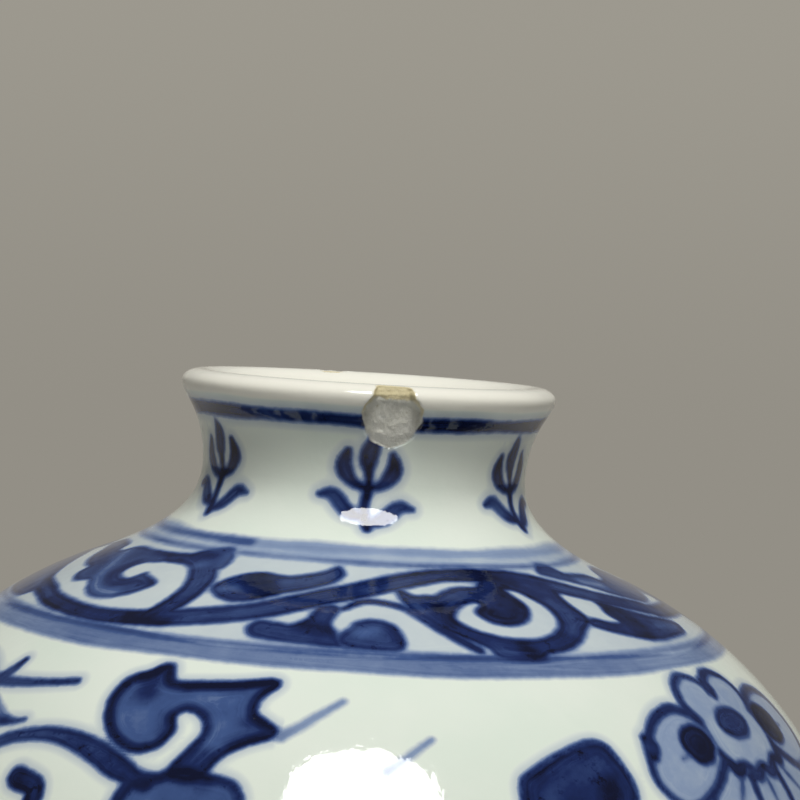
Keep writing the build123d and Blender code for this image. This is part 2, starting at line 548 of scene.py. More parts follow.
def mirrored(points):
    """The same points on the other side of a motif's middle."""
    return [(-x, y) for x, y in points]


def sprig(paint, place):
    """A spray of three buds over two leaves, for the neck."""
    paint.stroke(place, [(0.5, 6.0), (-0.1, 3.2), (0.2, 0.6), (0, -1.6)], 1.3, 0.9, tip=0.9)
    for side in (-1, 1):
        lift = 0.8 if side < 0 else 0
        leaf = [(0.2, 5.6), (side * 2.2, 4.6), (side * 4.2, 2.8), (side * 6.0, 2.9)]
        paint.stroke(place, [(x, y - lift) for x, y in leaf], [0.8, 2.0, 1.8, 0.6], 0.84)
        paint.stroke(
            place, [(0, 0.8), (side * 1.9, 0.1), (side * 3.2, -1.7), (side * 2.8, -3.8)],
            [0.8, 1.5, 2.2, 0.9], 0.9)
    paint.stroke(
        place, [(0, -1.2), (-0.2, -3.2), (0.2, -5.0), (0, -6.2)], [1.0, 2.4, 2.0, 0.6], 0.92)
    paint.shade(
        place, ([(0, 1.4), (0.1, -0.6)], 1.4, 0.18), ([(3.0, -2.0), (2.9, -3.0)], 1.2, 0.14),
        ([(-3.2, 3.6), (-4.6, 2.4)], 1.0, -0.16))


LOW_CURL_VINE = [  # degrees from the curl's middle, length along the wall, width
    (-33, 42.5, 3.0), (-25, 42.8, 3.0), (-18, 43.6, 2.9), (-13, 44.6, 2.8), (-3, 45.5, 2.8),
    (4, 45.6, 2.9), (11, 45, 3.2), (17, 44, 3.5), (22, 43, 3.6), (27, 41.8, 3.7), (32, 40.3, 3.8),
    (37, 38.2, 3.9)]
HIGH_CURL_VINE = [
    (-34, 36.2, 3.9), (-29, 34.6, 3.9), (-24, 32.8, 3.8), (-19, 31.4, 3.6), (-14, 30.4, 3.4),
    (-9, 29.7, 3.3), (-4, 29.4, 3.2), (1, 29.4, 3.2), (6, 29.7, 3.4), (11, 30.3, 3.6),
    (16, 31.3, 3.7), (21, 32.9, 3.8), (26, 34.8, 3.7), (31, 36.6, 3.6), (36, 38.2, 3.5),
    (41, 39.7, 3.3), (46, 41, 3.1)]


def low_curl(paint, place):
    """The border's curl that springs from the low bend of the vine, with the leaves after it."""
    paint.stroke(
        place, [(13.5, 44), (15.3, 40.5), (15.6, 37), (14, 34), (11, 31.6), (6.5, 30.4), (0, 30.7),
                (-8, 31)], [3.2, 3.5, 3.7, 3.8, 3.6, 3.0, 2.6, 2.4], 0.87)
    knob = [(4, 29.6), (6, 27.8), (10, 26.9), (14, 26.7), (16.4, 28.8), (16.4, 31.5), (12.5, 32.6),
            (7, 31.6)]
    head = [
        (-39, 31.2), (-37, 30), (-33, 29.8), (-29, 29.8), (-26, 30.2), (-24.3, 31.6), (-22, 31.6),
        (-20, 30.2), (-16, 29.6), (-9, 29.7), (-3, 29.9), (0, 30.8), (-2, 32.4), (-4.5, 32.9),
        (-6, 34), (-6.3, 35.5), (-5, 36.9), (-2.5, 37.4), (-1.3, 37), (0, 35.3), (2, 35.8),
        (5, 36.6), (6.5, 37.4), (6.2, 38.8), (3.5, 41), (0, 42.4), (-4, 42.5), (-7.5, 41.4),
        (-9.5, 40.2), (-11.5, 39.6), (-15, 40.4), (-18.5, 39), (-19.5, 37.2), (-23, 36.8),
        (-28, 35.5), (-33, 33.4), (-37, 32.3)]
    leaf = [
        (43, 28.4), (40, 29.8), (36, 31), (32, 31.7), (27, 31.4), (23, 32.2), (20, 34),
        (18.7, 36.5), (21, 38.3), (24.5, 39.3), (28, 38.9), (31.5, 37.3), (34, 36.2), (37, 35.2),
        (40, 34), (43, 32.4), (44.8, 30.2)]
    bract = [
        (30.5, 44), (32, 42.6), (35, 42.7), (37.5, 42.8), (39.4, 41.6), (40.2, 40), (40.8, 38.6),
        (43.4, 38), (45, 38.8), (44.4, 40.4), (43.8, 42.4), (45, 44), (46, 46), (48, 46.9),
        (41, 46.7), (35, 46.4), (31.5, 45.8)]
    wing = [
        (-46, 36), (-42, 34.6), (-37, 35.6), (-33, 37.2), (-29, 39.2), (-25, 41.2), (-22, 43.4),
        (-24, 45.9), (-29, 46.6), (-37, 46.4), (-43, 45), (-46, 41)]
    for edge, tone in ((knob, 0.8), (head, 0.7), (leaf, 0.86), (bract, 0.8), (wing, 0.74)):
        paint.shape(place, edge, tone)
    paint.stroke(place, [(28, 40.4), (33, 38.4), (38, 36), (43, 33.4)], 1.6, 0.34, "wash")
    paint.shade(
        place, ([(-19, 31.6), (-14, 35), (-10, 38.3), (-5, 40.8), (0, 40.9)], 1.5, -0.2),
        ([(-8, 33.2), (-7.6, 37), (-4, 39), (2, 37.7), (5, 37.7)], 1.3, 0.16),
        ([(-31, 32.2), (-24, 34.4), (-19, 35.6)], 1.8, 0.08),
        ([(9.5, 45.2), (13, 45), (16.5, 45.2)], 1.8, 0.26), ([(-13, 45.4), (-8, 46)], 1.4, 0.18),
        ([(-29, 42.4), (-20, 43.2), (-14, 44.2)], 0.8, -0.14),
        ([(9.6, 31.6), (10.4, 31.4)], 1.5, -0.14), ([(14.2, 28.2), (15, 30.6)], 1.4, -0.12),
        ([(6, 29), (10, 28.8)], 1.6, 0.16), ([(14.6, 42), (15.6, 38), (14.8, 35.4)], 0.9, -0.12),
        ([(26, 33.6), (29, 35), (30, 36.8)], 3.4, 0.2), ([(20.6, 36.8), (23.4, 36.2)], 1.3, -0.2),
        ([(33, 33.4), (38, 32.4), (41.5, 30.6)], 1.0, -0.1),
        ([(39.6, 42.8), (43, 43.8)], 2.0, 0.22), ([(20, 43.6), (27, 41.9), (34, 39.4)], 0.8, -0.12))


def high_curl(paint, place):
    """The border's curl that hangs from the high bend of the vine, with the leaves on both
    sides."""
    paint.stroke(
        place, [(-30.5, 38.8), (-27, 36.9), (-23, 37), (-19.5, 38), (-18, 39), (-15, 41.5),
                (-12, 44), (-9, 46.3)], [0.9, 1.3, 1.3, 1.4, 1.5, 1.6, 1.6, 1.4], 0.76)
    comma = [
        (-29.5, 43), (-28, 41.4), (-25, 40.8), (-22, 41.7), (-20.6, 44), (-20.6, 46), (-22, 47),
        (-27, 47), (-30.5, 46.2), (-31, 44.5)]
    curl = [
        (-20.5, 33.5), (-20, 36), (-18.5, 38.5), (-16, 41), (-13, 43), (-9, 45), (-7.5, 46),
        (-6.5, 47.6), (-3, 48.2), (1, 48), (3, 46.9), (7, 46.2), (11, 44.5), (14, 42.5), (16, 41.5),
        (17.5, 40), (17, 37), (17.5, 35), (19, 33), (16, 30.5), (9, 29.2), (2, 29.6), (-2, 31.5),
        (-8, 32), (-14, 34.2), (-17, 34.6), (-19, 33.4)]
    sliver = [
        (-16, 33.3), (-15, 32.6), (-10, 31.2), (-5, 31), (-1.8, 31.5), (-3, 32.2), (-7, 32.3),
        (-10.5, 33.4), (-13.5, 34.6)]
    crescent = [
        (4.5, 33), (7, 33.5), (9.3, 36), (10, 38.5), (9, 41), (6, 43), (2, 44), (-3, 43.8),
        (-7.5, 42.5), (-10.5, 40.5), (-10.3, 38.8), (-8, 37), (-5.5, 36.2), (-4.5, 36.8), (-6, 38),
        (-6.2, 39), (-4.5, 40.7), (-1, 41.4), (2.5, 40.6), (5, 38.5), (5.7, 36.5), (5, 34.3)]
    tail = [
        (16, 40.5), (19, 40.3), (22, 41.3), (24.5, 41.3), (23.8, 39.5), (25, 37.8), (25.5, 36.6),
        (29, 37.8), (33, 39.6), (37, 41), (41, 42), (45, 43.6), (43, 45.4), (37, 45.7), (31, 45.8),
        (26, 45.1), (20, 43.4), (16.5, 41.9)]
    leaf = [
        (20.5, 29.2), (22, 27.7), (25, 27.1), (28.5, 27.7), (31, 29.6), (35, 30), (40, 30.6),
        (43, 32.2), (46.5, 32), (50, 30.2), (55, 29.8), (60, 31), (61, 33.5), (57, 36.4),
        (51, 38.4), (46, 38.8), (43, 38), (38, 36.2), (33, 33.7), (28, 31.7), (23, 30.2)]
    paint.shape(place, comma, 0.74)
    paint.shape(place, curl, 0.86)
    paint.clear_shape(place, sliver, "clear line")
    paint.shape(place, sliver, 0.2, "wash")
    paint.clear_shape(place, crescent, "clear line")
    paint.shape(place, tail, 0.84)
    paint.shape(place, leaf, 0.74)
    paint.shade(
        place, ([(-27.5, 43.6), (-25.6, 43.2)], 1.8, -0.16),
        ([(-22.6, 42.6), (-21.6, 45)], 1.2, 0.14), ([(-4, 37.8), (0, 39.4), (4, 36.4)], 2.2, 0.16),
        ([(0, 36.6), (4.4, 32.4), (9, 31)], 1.6, 0.12), ([(-1, 45.4), (0.2, 47)], 1.8, 0.24),
        ([(-13, 37.2), (-12, 41)], 1.6, 0.14), ([(12.6, 36), (13.4, 39.4), (10.6, 43)], 1.6, -0.12),
        ([(-7, 46.2), (-4, 46.6)], 1.2, -0.14),
        ([(-19, 35.6), (-16.4, 38.4)], 1.2, -0.1), ([(-11, 34.6), (-6, 34)], 1.2, -0.08),
        ([(27, 38.8), (28.4, 41.4), (27.8, 43.8)], 3.6, 0.16), ([(36, 43.2), (42, 44)], 1.8, -0.18),
        ([(33, 31.9), (38.6, 33.4)], 2.0, -0.22), ([(24, 28.4), (26.6, 28.6)], 1.2, 0.1),
        ([(-26, 34.2), (-18, 31.6), (-10, 30)], 0.8, -0.1), ([(20, 32.4), (28, 35.4)], 0.9, -0.12),
        ([(-1, 29), (5, 30)], 2.2, 0.16))
    paint.stroke(place, [(56, 37.6), (61, 34.8), (65, 31.2)], 1.7, 0.66)


def curled_leaf(paint, place):
    """A broad leaf curled back on itself, with two points."""
    edge = [
        (-5.4, -6.6), (-3.7, -4.0), (0.9, -4.3), (5.4, -5.0), (9.5, -5.7), (7.8, -3.1), (7.9, -0.5),
        (10.7, 1.7), (7.7, 3.4), (5.2, 5.2), (3.2, 8.2), (0.2, 8.0), (1.8, 4.8), (2.8, 2.5),
        (1.9, 0.4), (-0.4, -0.5), (-1.8, 0.8), (-1.3, 2.8), (-2.6, 5), (-5.4, 5.6), (-8.6, 3.7),
        (-10.4, 0), (-9.7, -3.5), (-7.4, -5.0)]
    paint.shape(place, edge, 0.7, "wash")
    paint.outline(place, edge, 1.2, 0.92)
    paint.shade(
        place, ([(-6.6, 1.4), (-5.2, 3.0)], 3.0, -0.06), ([(-7.0, -4.6), (-6.4, -2.0)], 2.8, 0.26),
        ([(-1.5, -3.6), (4.5, -4.4), (8.4, -5.6)], 1.4, 0.2),
        ([(0.6, -2.4), (4.6, -2.2)], 2.0, -0.06), ([(7.4, 0.6), (9.4, 1.6), (6.4, 3.6)], 1.6, 0.26),
        ([(3.6, 5.6), (1.8, 7.6)], 2.2, 0.26),
        ([(-2.4, 1.2), (-2.2, 3.4)], 1.0, 0.2), ([(4.4, 1.0), (3.4, 3.6)], 1.2, -0.08))


def cupped_leaf(paint, place):
    """A broad leaf that grows on under a curled one, from the same spot."""
    edge = [(-3.6, 9.3), (-1.0, 8.7), (1.6, 7.6), (4.6, 8.0), (7.2, 8.5), (8.4, 10.2), (8.2, 13.4),
            (4.4, 16.4), (-1.0, 16.8), (-4.6, 13.4)]
    paint.shape(place, edge, 0.66, "wash")
    paint.outline(place, edge, 1.3, 0.86)
    paint.shade(place, ([(1.2, 8.0), (4.2, 8.8)], 1.8, 0.2))


def pointed_leaf(paint, place):
    """A leaf with one lobe drawn out into a line, and a spur over it."""
    edge = [(-10.4, -0.8), (-7, 0.2), (-4.4, 0.4), (-1.6, 1.6), (1.0, 3.0), (3.6, 4.2), (0.6, 4.8),
            (-3.4, 4.6), (-7.4, 4.2), (-10.6, 3.0)]
    paint.shape(place, edge, 0.6, "wash")
    paint.stroke(
        place, [(-10.4, -1.2), (-6.2, -0.6), (-1.6, -0.8), (3.6, -1.6), (9.2, -2.8)],
        [1.6, 1.9, 1.7, 1.3, 1.0], 0.74)
    paint.stroke(place, [(-4.4, 0), (-3.2, -2.2), (-2.4, -4.4)], [2.4, 1.9, 1.1], 0.82)
    paint.stroke(
        place, [(-6.6, 4.6), (-2.4, 5.0), (2.4, 4.6), (5.2, 3.8)], [0.8, 1.2, 1.2, 0.6], 0.76)
    paint.shade(place, ([(-8.4, 0.4), (-5.4, 0.9)], 1.6, 0.18))


def bud(paint, place):
    """A plump closed bud, nearly filled with dark blue."""
    edge = [(-7.8, 2.4), (-7.4, 0.4), (-5.6, -0.9), (-2.4, -2.7), (2.2, -4.5), (5.0, -4.2),
            (6.6, -1.2), (7.2, 2.8), (4.6, 6.8), (-0.8, 7.8), (-5.0, 6.2), (-7.4, 4.2)]
    paint.shape(place, edge, 0.93)
    paint.outline(place, edge, 0.6, 0.95)
    paint.shade(
        place, ([(-4.6, 2.6), (-1.2, 0.6), (3.4, -0.6)], 2.2, -0.09),
        ([(-2.4, 5.0), (2.6, 3.6), (4.6, 0.8)], 2.4, 0.1))


def tendril(paint, place):
    """A thin pale shoot."""
    paint.stroke(place, [(0, 0), (2.4, -1.9), (4.8, -4.0), (6.9, -5.8)], [1.4, 1.2, 1.0, 0.8], 0.4)


def blossom(paint, place):
    """An open flower of rounded petals round an oval heart."""
    low_petal = [
        (-7.6, 4.6), (-12, 8.2), (-12.4, 12.6), (-8.4, 15.4), (-4.4, 13.4), (-3.6, 9), (-3.6, 6)]
    veined = [
        [(-3.4, 6.6), (-5.6, 10), (-4.2, 14), (0, 16.4), (4.2, 14), (5.6, 10), (3.4, 6.6)],
        low_petal, mirrored(low_petal),
        [(-6.8, -0.6), (-11, -3.2), (-15.8, -1.8), (-19.2, 2.2), (-19.8, 6.8), (-16.4, 9.8),
         (-11.8, 8.4), (-8.6, 6.2), (-6.2, 3.6)],
        [(7.4, -1.4), (11, -3.4), (15.4, -3.4), (19.0, -1.0), (19.8, 3.6), (17.2, 7.2), (12.6, 8.0),
         (9.2, 6.4), (6.6, 3.6)]]
    upper = [
        [(-6.6, -0.2), (-8.4, -3.4), (-7.2, -6.8), (-4.2, -8.4), (-1.2, -7.2), (0.2, -4.6),
         (-0.4, -1.6), (-3, 0.4)],
        [(0.2, -4.6), (1.4, -7.2), (4.2, -8.2), (7.4, -6.8), (8.6, -4), (7.4, -1), (4.4, 0.6),
         (1.2, -1.2)]]
    for petal in veined + upper:
        paint.clear_shape(place, petal)
        paint.shape(place, petal, 0.33, "wash")
        paint.outline(place, petal, 1.4, 0.8)
    heart = [(-6.6, -0.4), (-4.6, -3.6), (0, -4.4), (4.6, -3.4), (6.8, 0), (6.6, 4), (4.2, 6.2),
             (0, 6.8), (-4.2, 6.2), (-6.6, 3.8)]
    paint.clear_shape(place, heart, "clear line")
    paint.shape(place, heart, 0.3, "wash")
    scallops = [(-7, 3.9), (-5.4, 6.2), (-3.2, 5.8), (-1.6, 7.2), (0.4, 6.4), (2.4, 7.2),
                (4.2, 5.8), (6.2, 6.0), (7.2, 3.6)]
    paint.stroke(place, scallops, [1.2, 2.2, 1.4, 2.2, 1.5, 2.2, 1.4, 2.0, 1.0], 0.85)
    eye = [(-3.8, 0), (-2.4, -1.9), (0.2, -2.4), (2.6, -1.7), (3.8, 0), (2.4, 2.0), (-0.2, 2.5),
           (-2.8, 1.8)]
    left_spot = [(-13.4, 2.4), (-12.4, 0.2), (-10, -0.6), (-8, 0.2), (-7.4, 2.4), (-9, 4.6),
                 (-11.8, 4.8)]
    right_spot = [(7.2, 1.0), (8.4, -1.4), (11, -1.6), (13.6, 0.4), (13.2, 3.4), (10.6, 4.6),
                  (8, 3.6)]
    for edge, tone in ((eye, 0.8), (left_spot, 1.06), (right_spot, 1.06)):
        paint.shape(place, edge, tone)
    paint.stroke(place, [(0.2, -6.9), (0.6, -5.4), (0.4, -4.0)], 2.2, 0.85, tip=0.5)
    paint.stroke(place, [(-18.9, 0.9), (-18.6, 2.1), (-18.9, 3.3)], 2.6, 0.9, tip=0.6, tail=0.6)
    for petal in veined:
        centre = np.mean(petal, 0)
        paint.stroke(place, [centre * 0.72, centre * 0.9, centre * 1.12], 0.7, 0.5)
        paint.shade(place, ([centre * 0.62, centre * 0.8], 2.2, 0.09))


def hook(paint, place):
    """A curl of stem with a dark tip, that springs from the vine."""
    paint.stroke(
        place, [(14, 0.6), (9.6, -1.2), (5.2, -3.0), (0, -4.0), (-5.2, -3.3), (-9.4, -1.2),
                (-11.4, 2.6), (-9.6, 6.6), (-4.8, 8.2), (-0.4, 6.4), (0, 3.2), (-3.2, 2.2)],
        [2.0, 3.2, 3.0, 2.4, 2.0, 1.9, 2.1, 2.2, 2.2, 2.4, 2.8, 3.0], 0.78)
    paint.shade(place, ([(-0.6, 5.0), (-2.8, 2.6)], 1.8, 0.2))


def winding_vine(paint, length, swing, phase):
    """A vine that winds right round the vase, above and below a length along the wall, with its
    low bends at the blossoms."""
    knots = []
    for turn in np.arange(-180, 180, 6.0):
        width = 2.1 + 0.3 * sin(radians(turn * 5))
        bend = cos(radians(BLOSSOMS_ROUND * (turn - phase)))
        knots.append((turn, length + swing * bend, width))
    paint.girdle(knots, 0.72)


def lappet(paint, place):
    """One upright pointed leaf of the border over the foot, drawn twice round with a bud
    inside."""
    left = [(-8.6, 17), (-9.6, 8), (-9.2, 0), (-7.2, -8), (-3.2, -14)]
    outer = [*left, (0, -18), *mirrored(left)[::-1]]
    paint.stroke(place, outer, 1.5, 0.8, tip=0.8, tail=0.8)
    inner = [(x * 0.74, y * 0.8 + 2.0) for x, y in outer]
    paint.stroke(place, inner, 0.8, 0.6, tip=0.7, tail=0.7)
    side = [(2.6, -4.4), (3.6, 1), (2.4, 5.4)]
    paint.shape(place, [(0, -9), *side, (0, 7), *mirrored(side)[::-1]], 0.46, "wash")
    side = [(2.8, -4), (3.7, 1), (2.4, 5.6)]
    paint.stroke(
        place, [(0, -9), *side, (0, 7.2), *mirrored(side)[::-1], (0, -9)], 1.0, 0.8, tip=0.8,
        tail=0.8)
    for way in (-1, 1):
        paint.stroke(place, [(0, 8), (way * 2.6, 9.4), (way * 4.6, 8.2), (way * 5.2, 5.4)],
                     [0.9, 1.6, 1.5, 0.7], 0.76)
        paint.stroke(place, [(0, 12.6), (way * 2.4, 13.4), (way * 4.6, 12.4)], 1.2, 0.76)
    paint.stroke(place, [(0, 7), (0, 11), (0, 15)], 1.2, 0.78)
    paint.shade(place, ([(0, -4), (0, 2)], 1.6, 0.14))


# Where each part of the painting lies, as lengths in mm along the wall from the lip's crest

UNDER_LIP = 6.65
NECK_MOTIF = 14.8
SPRIGS = 6
VINE_CURLS = [
    (-47, low_curl, LOW_CURL_VINE), (29, high_curl, HIGH_CURL_VINE),
    (133, low_curl, LOW_CURL_VINE), (209, high_curl, HIGH_CURL_VINE)]
BLOSSOMS_ROUND = 3
SHOULDER_BLOSSOMS = (58.6, 59.8, 115)  # angle of the first, length, degrees from one to the next
LOTUS_ROWS = [(-4, 101, 1.12), (58, 143, 1.12), (-4, 181, 0.95)]  # angle of the first, length, size
LAPPETS, LAPPET_WIDTH = 12, 20.4

# Heights over the foot's resting plane, and the step between the two lines over the lappets
LAPPET_TOP, LAPPET_BOTTOM, FOOT_LINE, DOUBLE_LINE = 62, 16, 9, 2.4


def paint_neck(paint, wall):
    """The line under the lip, the sprigs, and the double line at the neck's root."""
    paint.ring(UNDER_LIP, 1.9, 0.92)
    for k in range(SPRIGS):
        sprig(paint, Spot(wall, 2 + 360 / SPRIGS * k, NECK_MOTIF, lean=(-1) ** k * 3))
    paint.ring(25.9, 4.2, 0.27, "wash")
    paint.ring(25.0, 1.2, 0.14, loaded=-27, fresh=0.36)
    paint.ring(27.5, 1.0, 0.33, loaded=60, fresh=0.1)


def paint_shoulder(paint, wall):
    """The border: a haze of cobalt, the vine with its curls, and the double line under it."""
    paint.ring(37.4, 20.6, 0.16, "wash")
    paint.girdle([
        (angle + turn, length, width)
        for angle, _, bend in VINE_CURLS for turn, length, width in bend], 0.87)
    for angle, curl, _ in VINE_CURLS:
        curl(paint, Border(wall, angle))
    paint.ring(49.15, 3.5, 0.5, "wash", loaded=-90, fresh=0.06)
    paint.ring(47.5, 1.1, 0.35, loaded=35, fresh=0.14)


def paint_field(paint, wall):
    """The sprays and blossoms on the shoulder, and the rows of scrolling lotus below them."""
    curled_leaf(paint, Spot(wall, -19, 59))
    tendril(paint, Spot(wall, -7.2, 61.2))
    tendril(paint, Spot(wall, 5.1, 65.0, 0.8))
    pointed_leaf(paint, Spot(wall, -46, 59.6))
    bud(paint, Spot(wall, 27.7, 65.2))
    hook(paint, Spot(wall, -34.2, 68.6))
    cupped_leaf(paint, Spot(wall, -19, 59))
    for angle in (115, -130):
        curled_leaf(paint, Spot(wall, angle, 60))
        cupped_leaf(paint, Spot(wall, angle, 60))
        pointed_leaf(paint, Spot(wall, angle + 23, 62, mirror=True))
        bud(paint, Spot(wall, angle - 22, 66))
    start, length, spread = SHOULDER_BLOSSOMS
    for k in range(BLOSSOMS_ROUND):
        blossom(paint, Spot(wall, start + spread * k, length))
    for start, length, size in LOTUS_ROWS:
        winding_vine(paint, length + 5, 15 * size, start)
        for k in range(BLOSSOMS_ROUND):
            lotus(paint, wall, start + 120 * k, length, size)


def lotus(paint, wall, angle, length, size):
    """A blossom with its leaves, hooks and tendrils on both sides, and the bud after it."""
    blossom(paint, Spot(wall, angle, length, size))
    for side in (-1, 1):
        curled_leaf(
            paint, Spot(wall, angle + side * 27, length - 9 * size, size, side * 40, side < 0))
        hook(
            paint, Spot(wall, angle + side * 34, length + 14, 0.8 * size, side * 20, side > 0))
        tendril(paint, Spot(wall, angle + side * 20, length - 12, size, 0, side < 0))
    bud(paint, Spot(wall, angle + 60, length + 2, size))
    pointed_leaf(paint, Spot(wall, angle + 48, length + 6, size, 30))
    pointed_leaf(paint, Spot(wall, angle + 72, length + 8, size, -30, True))


def paint_foot(paint, wall):
    """The lappets between their lines, and the line over the foot's edge."""
    top, bottom = wall.length_at_height(LAPPET_TOP), wall.length_at_height(LAPPET_BOTTOM)
    paint.ring(top, 1.2, 0.62)
    paint.ring(top + DOUBLE_LINE, 0.8, 0.55)
    paint.ring(bottom, 1.4, 0.66)
    middle = (top + DOUBLE_LINE + bottom) / 2
    width = FULL_TURN * wall.radius(wall.fall_at(middle)) / LAPPETS
    for k in range(LAPPETS):
        lappet(paint, Spot(wall, 15 + 360 / LAPPETS * k, middle, width / LAPPET_WIDTH))
    paint.ring(wall.length_at_height(FOOT_LINE), 1.0, 0.6)


# The coat's mesh

COAT_PIECES = [  # name, and the length along the wall where the piece ends
    ("glaze_lip_and_neck", 23.0), ("glaze_vine_border", 50.0), ("glaze_upper_lotus", 118.0),
    ("glaze_lower_lotus", 190.0), ("glaze_lappet_border", 400.0)]

# The nick in the far rim: where it is, and half its size and its depth in mm
NICK_ANGLE = radians(-165.6)
NICK_HALF_WIDTH, NICK_HALF_LENGTH, NICK_DEPTH = 2.3, 1.1, 0.28


class Chip:
    """The piece missing from the lip. Its ragged mouth's half width and its broken face's distance
    from the vase's axis are given in mm against the drop below the rim."""

    # the egg-shaped hollow that the CAD cuts, and the neck's radius from which it is set
    WIDTH, LENGTH, DROP, BITE, LEAN, SIDE = 9.8, 11.0, 4.4, 0.75, radians(8), radians(7.7)
    NECK_RADIUS = 21.65

    MOUTH = [(-0.5, 2.6), (1.6, 3.0), (2.8, 4.1), (4.5, 4.1), (6.2, 3.6), (7.3, 2.6), (7.9, 1.2),
             (8.2, -1)]
    FACE = [(0, 22.9), (0.15, 23.3), (1.2, 23.6), (2.0, 23.4), (3.5, 22.85), (6.5, 22.25),
            (9.5, 21.4)]
    SHIFT = 0.25  # how far the ragged mouth lies to one side of the hollow's middle
    FLANK = 0.9  # over which the face comes up to the mouth's edge
    COVER = 0.36  # how deep the glaze can break away where the clay under it is whole
    SPARE = 0.05  # by which the broken face stays in front of the hollow in the clay
    INNERMOST = -0.8  # the length along the wall, over the crest, where the break ends

    def __init__(self, top):
        self.top = top

    def broken(self, places, lengths):
        """How deep the break lies under each place, how far inside the mouth's edge the place is,
        the way out, and the drop below the rim."""
        out = np.array([sin(self.SIDE), -cos(self.SIDE), 0])
        across = np.array([cos(self.SIDE), sin(self.SIDE), 0])
        side, drop = places @ across, self.top - places[:, 2]
        mouth = np.interp(drop, *np.transpose(self.MOUTH)) + 0.3 * waves(places, 3.0, 17, 3)
        inside = mouth - abs(side - self.SHIFT)
        face = np.interp(drop, *np.transpose(self.FACE)) + 0.1 * waves(places, 4.0, 19, 2)
        depth = np.maximum(places @ out - face, 0) * eased(inside / self.FLANK)
        depth = np.minimum(depth, self.room(places @ out, side, drop))
        return np.where(lengths > self.INNERMOST, depth, 0), inside, out, drop

    def room(self, reach, side, drop):
        """How far in the hollow in the clay lets the broken face lie."""
        half, tall = self.WIDTH / 2, self.LENGTH / 2
        x, z = reach - (self.NECK_RADIUS - self.BITE + half), self.DROP - drop
        u = x * cos(self.LEAN) - z * sin(self.LEAN)
        w = x * sin(self.LEAN) + z * cos(self.LEAN)
        form = (u / half) ** 2 + (side / half) ** 2 + (w / tall) ** 2 - 1
        # sliding inward until the form is nothing again
        a = (cos(self.LEAN) / half) ** 2 + (sin(self.LEAN) / tall) ** 2
        b = u * cos(self.LEAN) / half**2 + w * sin(self.LEAN) / tall**2
        slide = (b + np.sqrt(np.maximum(b * b - a * form, 0))) / a
        return np.maximum(np.where(form < 0, slide - self.SPARE, 0), self.COVER)


def break_lip(top, roughness, places, angles, radii, lengths):
    """The places moved in to the chip's rippled face and down into the nick, with how bare each is,
    how much stain and painted flank shade each has, and whether it moved."""
    depth, inside, out, drop = Chip(top).broken(places, lengths)
    ripple = 0.5 + 0.5 * waves(places, 2.6, 3)
    grain = 0.5 + 0.5 * waves(places, 0.9, 5, 2)
    lift = roughness * (ripple + 0.5 * grain) * np.clip(depth / 0.5, 0, 1)
    places = places - out * np.maximum(depth - lift, 0)[:, None]
    aside = (angles - NICK_ANGLE) * radii / NICK_HALF_WIDTH
    ragged = np.hypot(aside, (lengths + 0.3) / NICK_HALF_LENGTH) + 0.25 * waves(places, 1.5, 11, 3)
    nick = np.clip((1 - ragged) / 0.25, 0, 1)
    places[:, 2] -= NICK_DEPTH * nick
    bare = np.clip(depth / 0.45, 0, 1) + nick
    # old dirt lies in the upper part of the break; the fainter tint up its flanks is painted shade
    # of the sloping flanks, laid in the stain's colour
    upper = np.clip((2.4 - drop - 0.9 * ripple) / 0.7, 0, 1)
    flank_shade = np.clip((1.1 - inside + 0.4 * grain) / 0.9, 0, 1) * np.clip((5 - drop) / 2, 0, 1)
    # one mask holds the old stain, the nick and the painted flank shade
    stain = np.where(depth > 0, np.maximum(upper, 0.6 * flank_shade), 0) + nick
    return places, bare, stain, (depth > 0) | (nick > 0)


COLUMNS = 64  # the widest cells, counted round the vase
SHARPEST_BEND = radians(7)  # that a cell may have from its upper to its lower edge

# Areas that need small cells, as their middle angle, half their angle, and the lengths along the
# wall between which they lie, with the widest cell in mm that is left in the broken ones
FRONT = (0, radians(100), -6, 82)
CHIP_AREA, CHIP_CELL = (Chip.SIDE, 0.28, -1.5, 14), 0.16
NICK_AREA, NICK_CELL = (-NICK_ANGLE, 0.13, -2.5, 2.5), 0.2


def within(area, angles, lengths):
    """Which places lie in an area."""
    middle, half_angle, least, most = area
    return (abs(angles - middle) < half_angle) & (lengths > least) & (lengths < most)


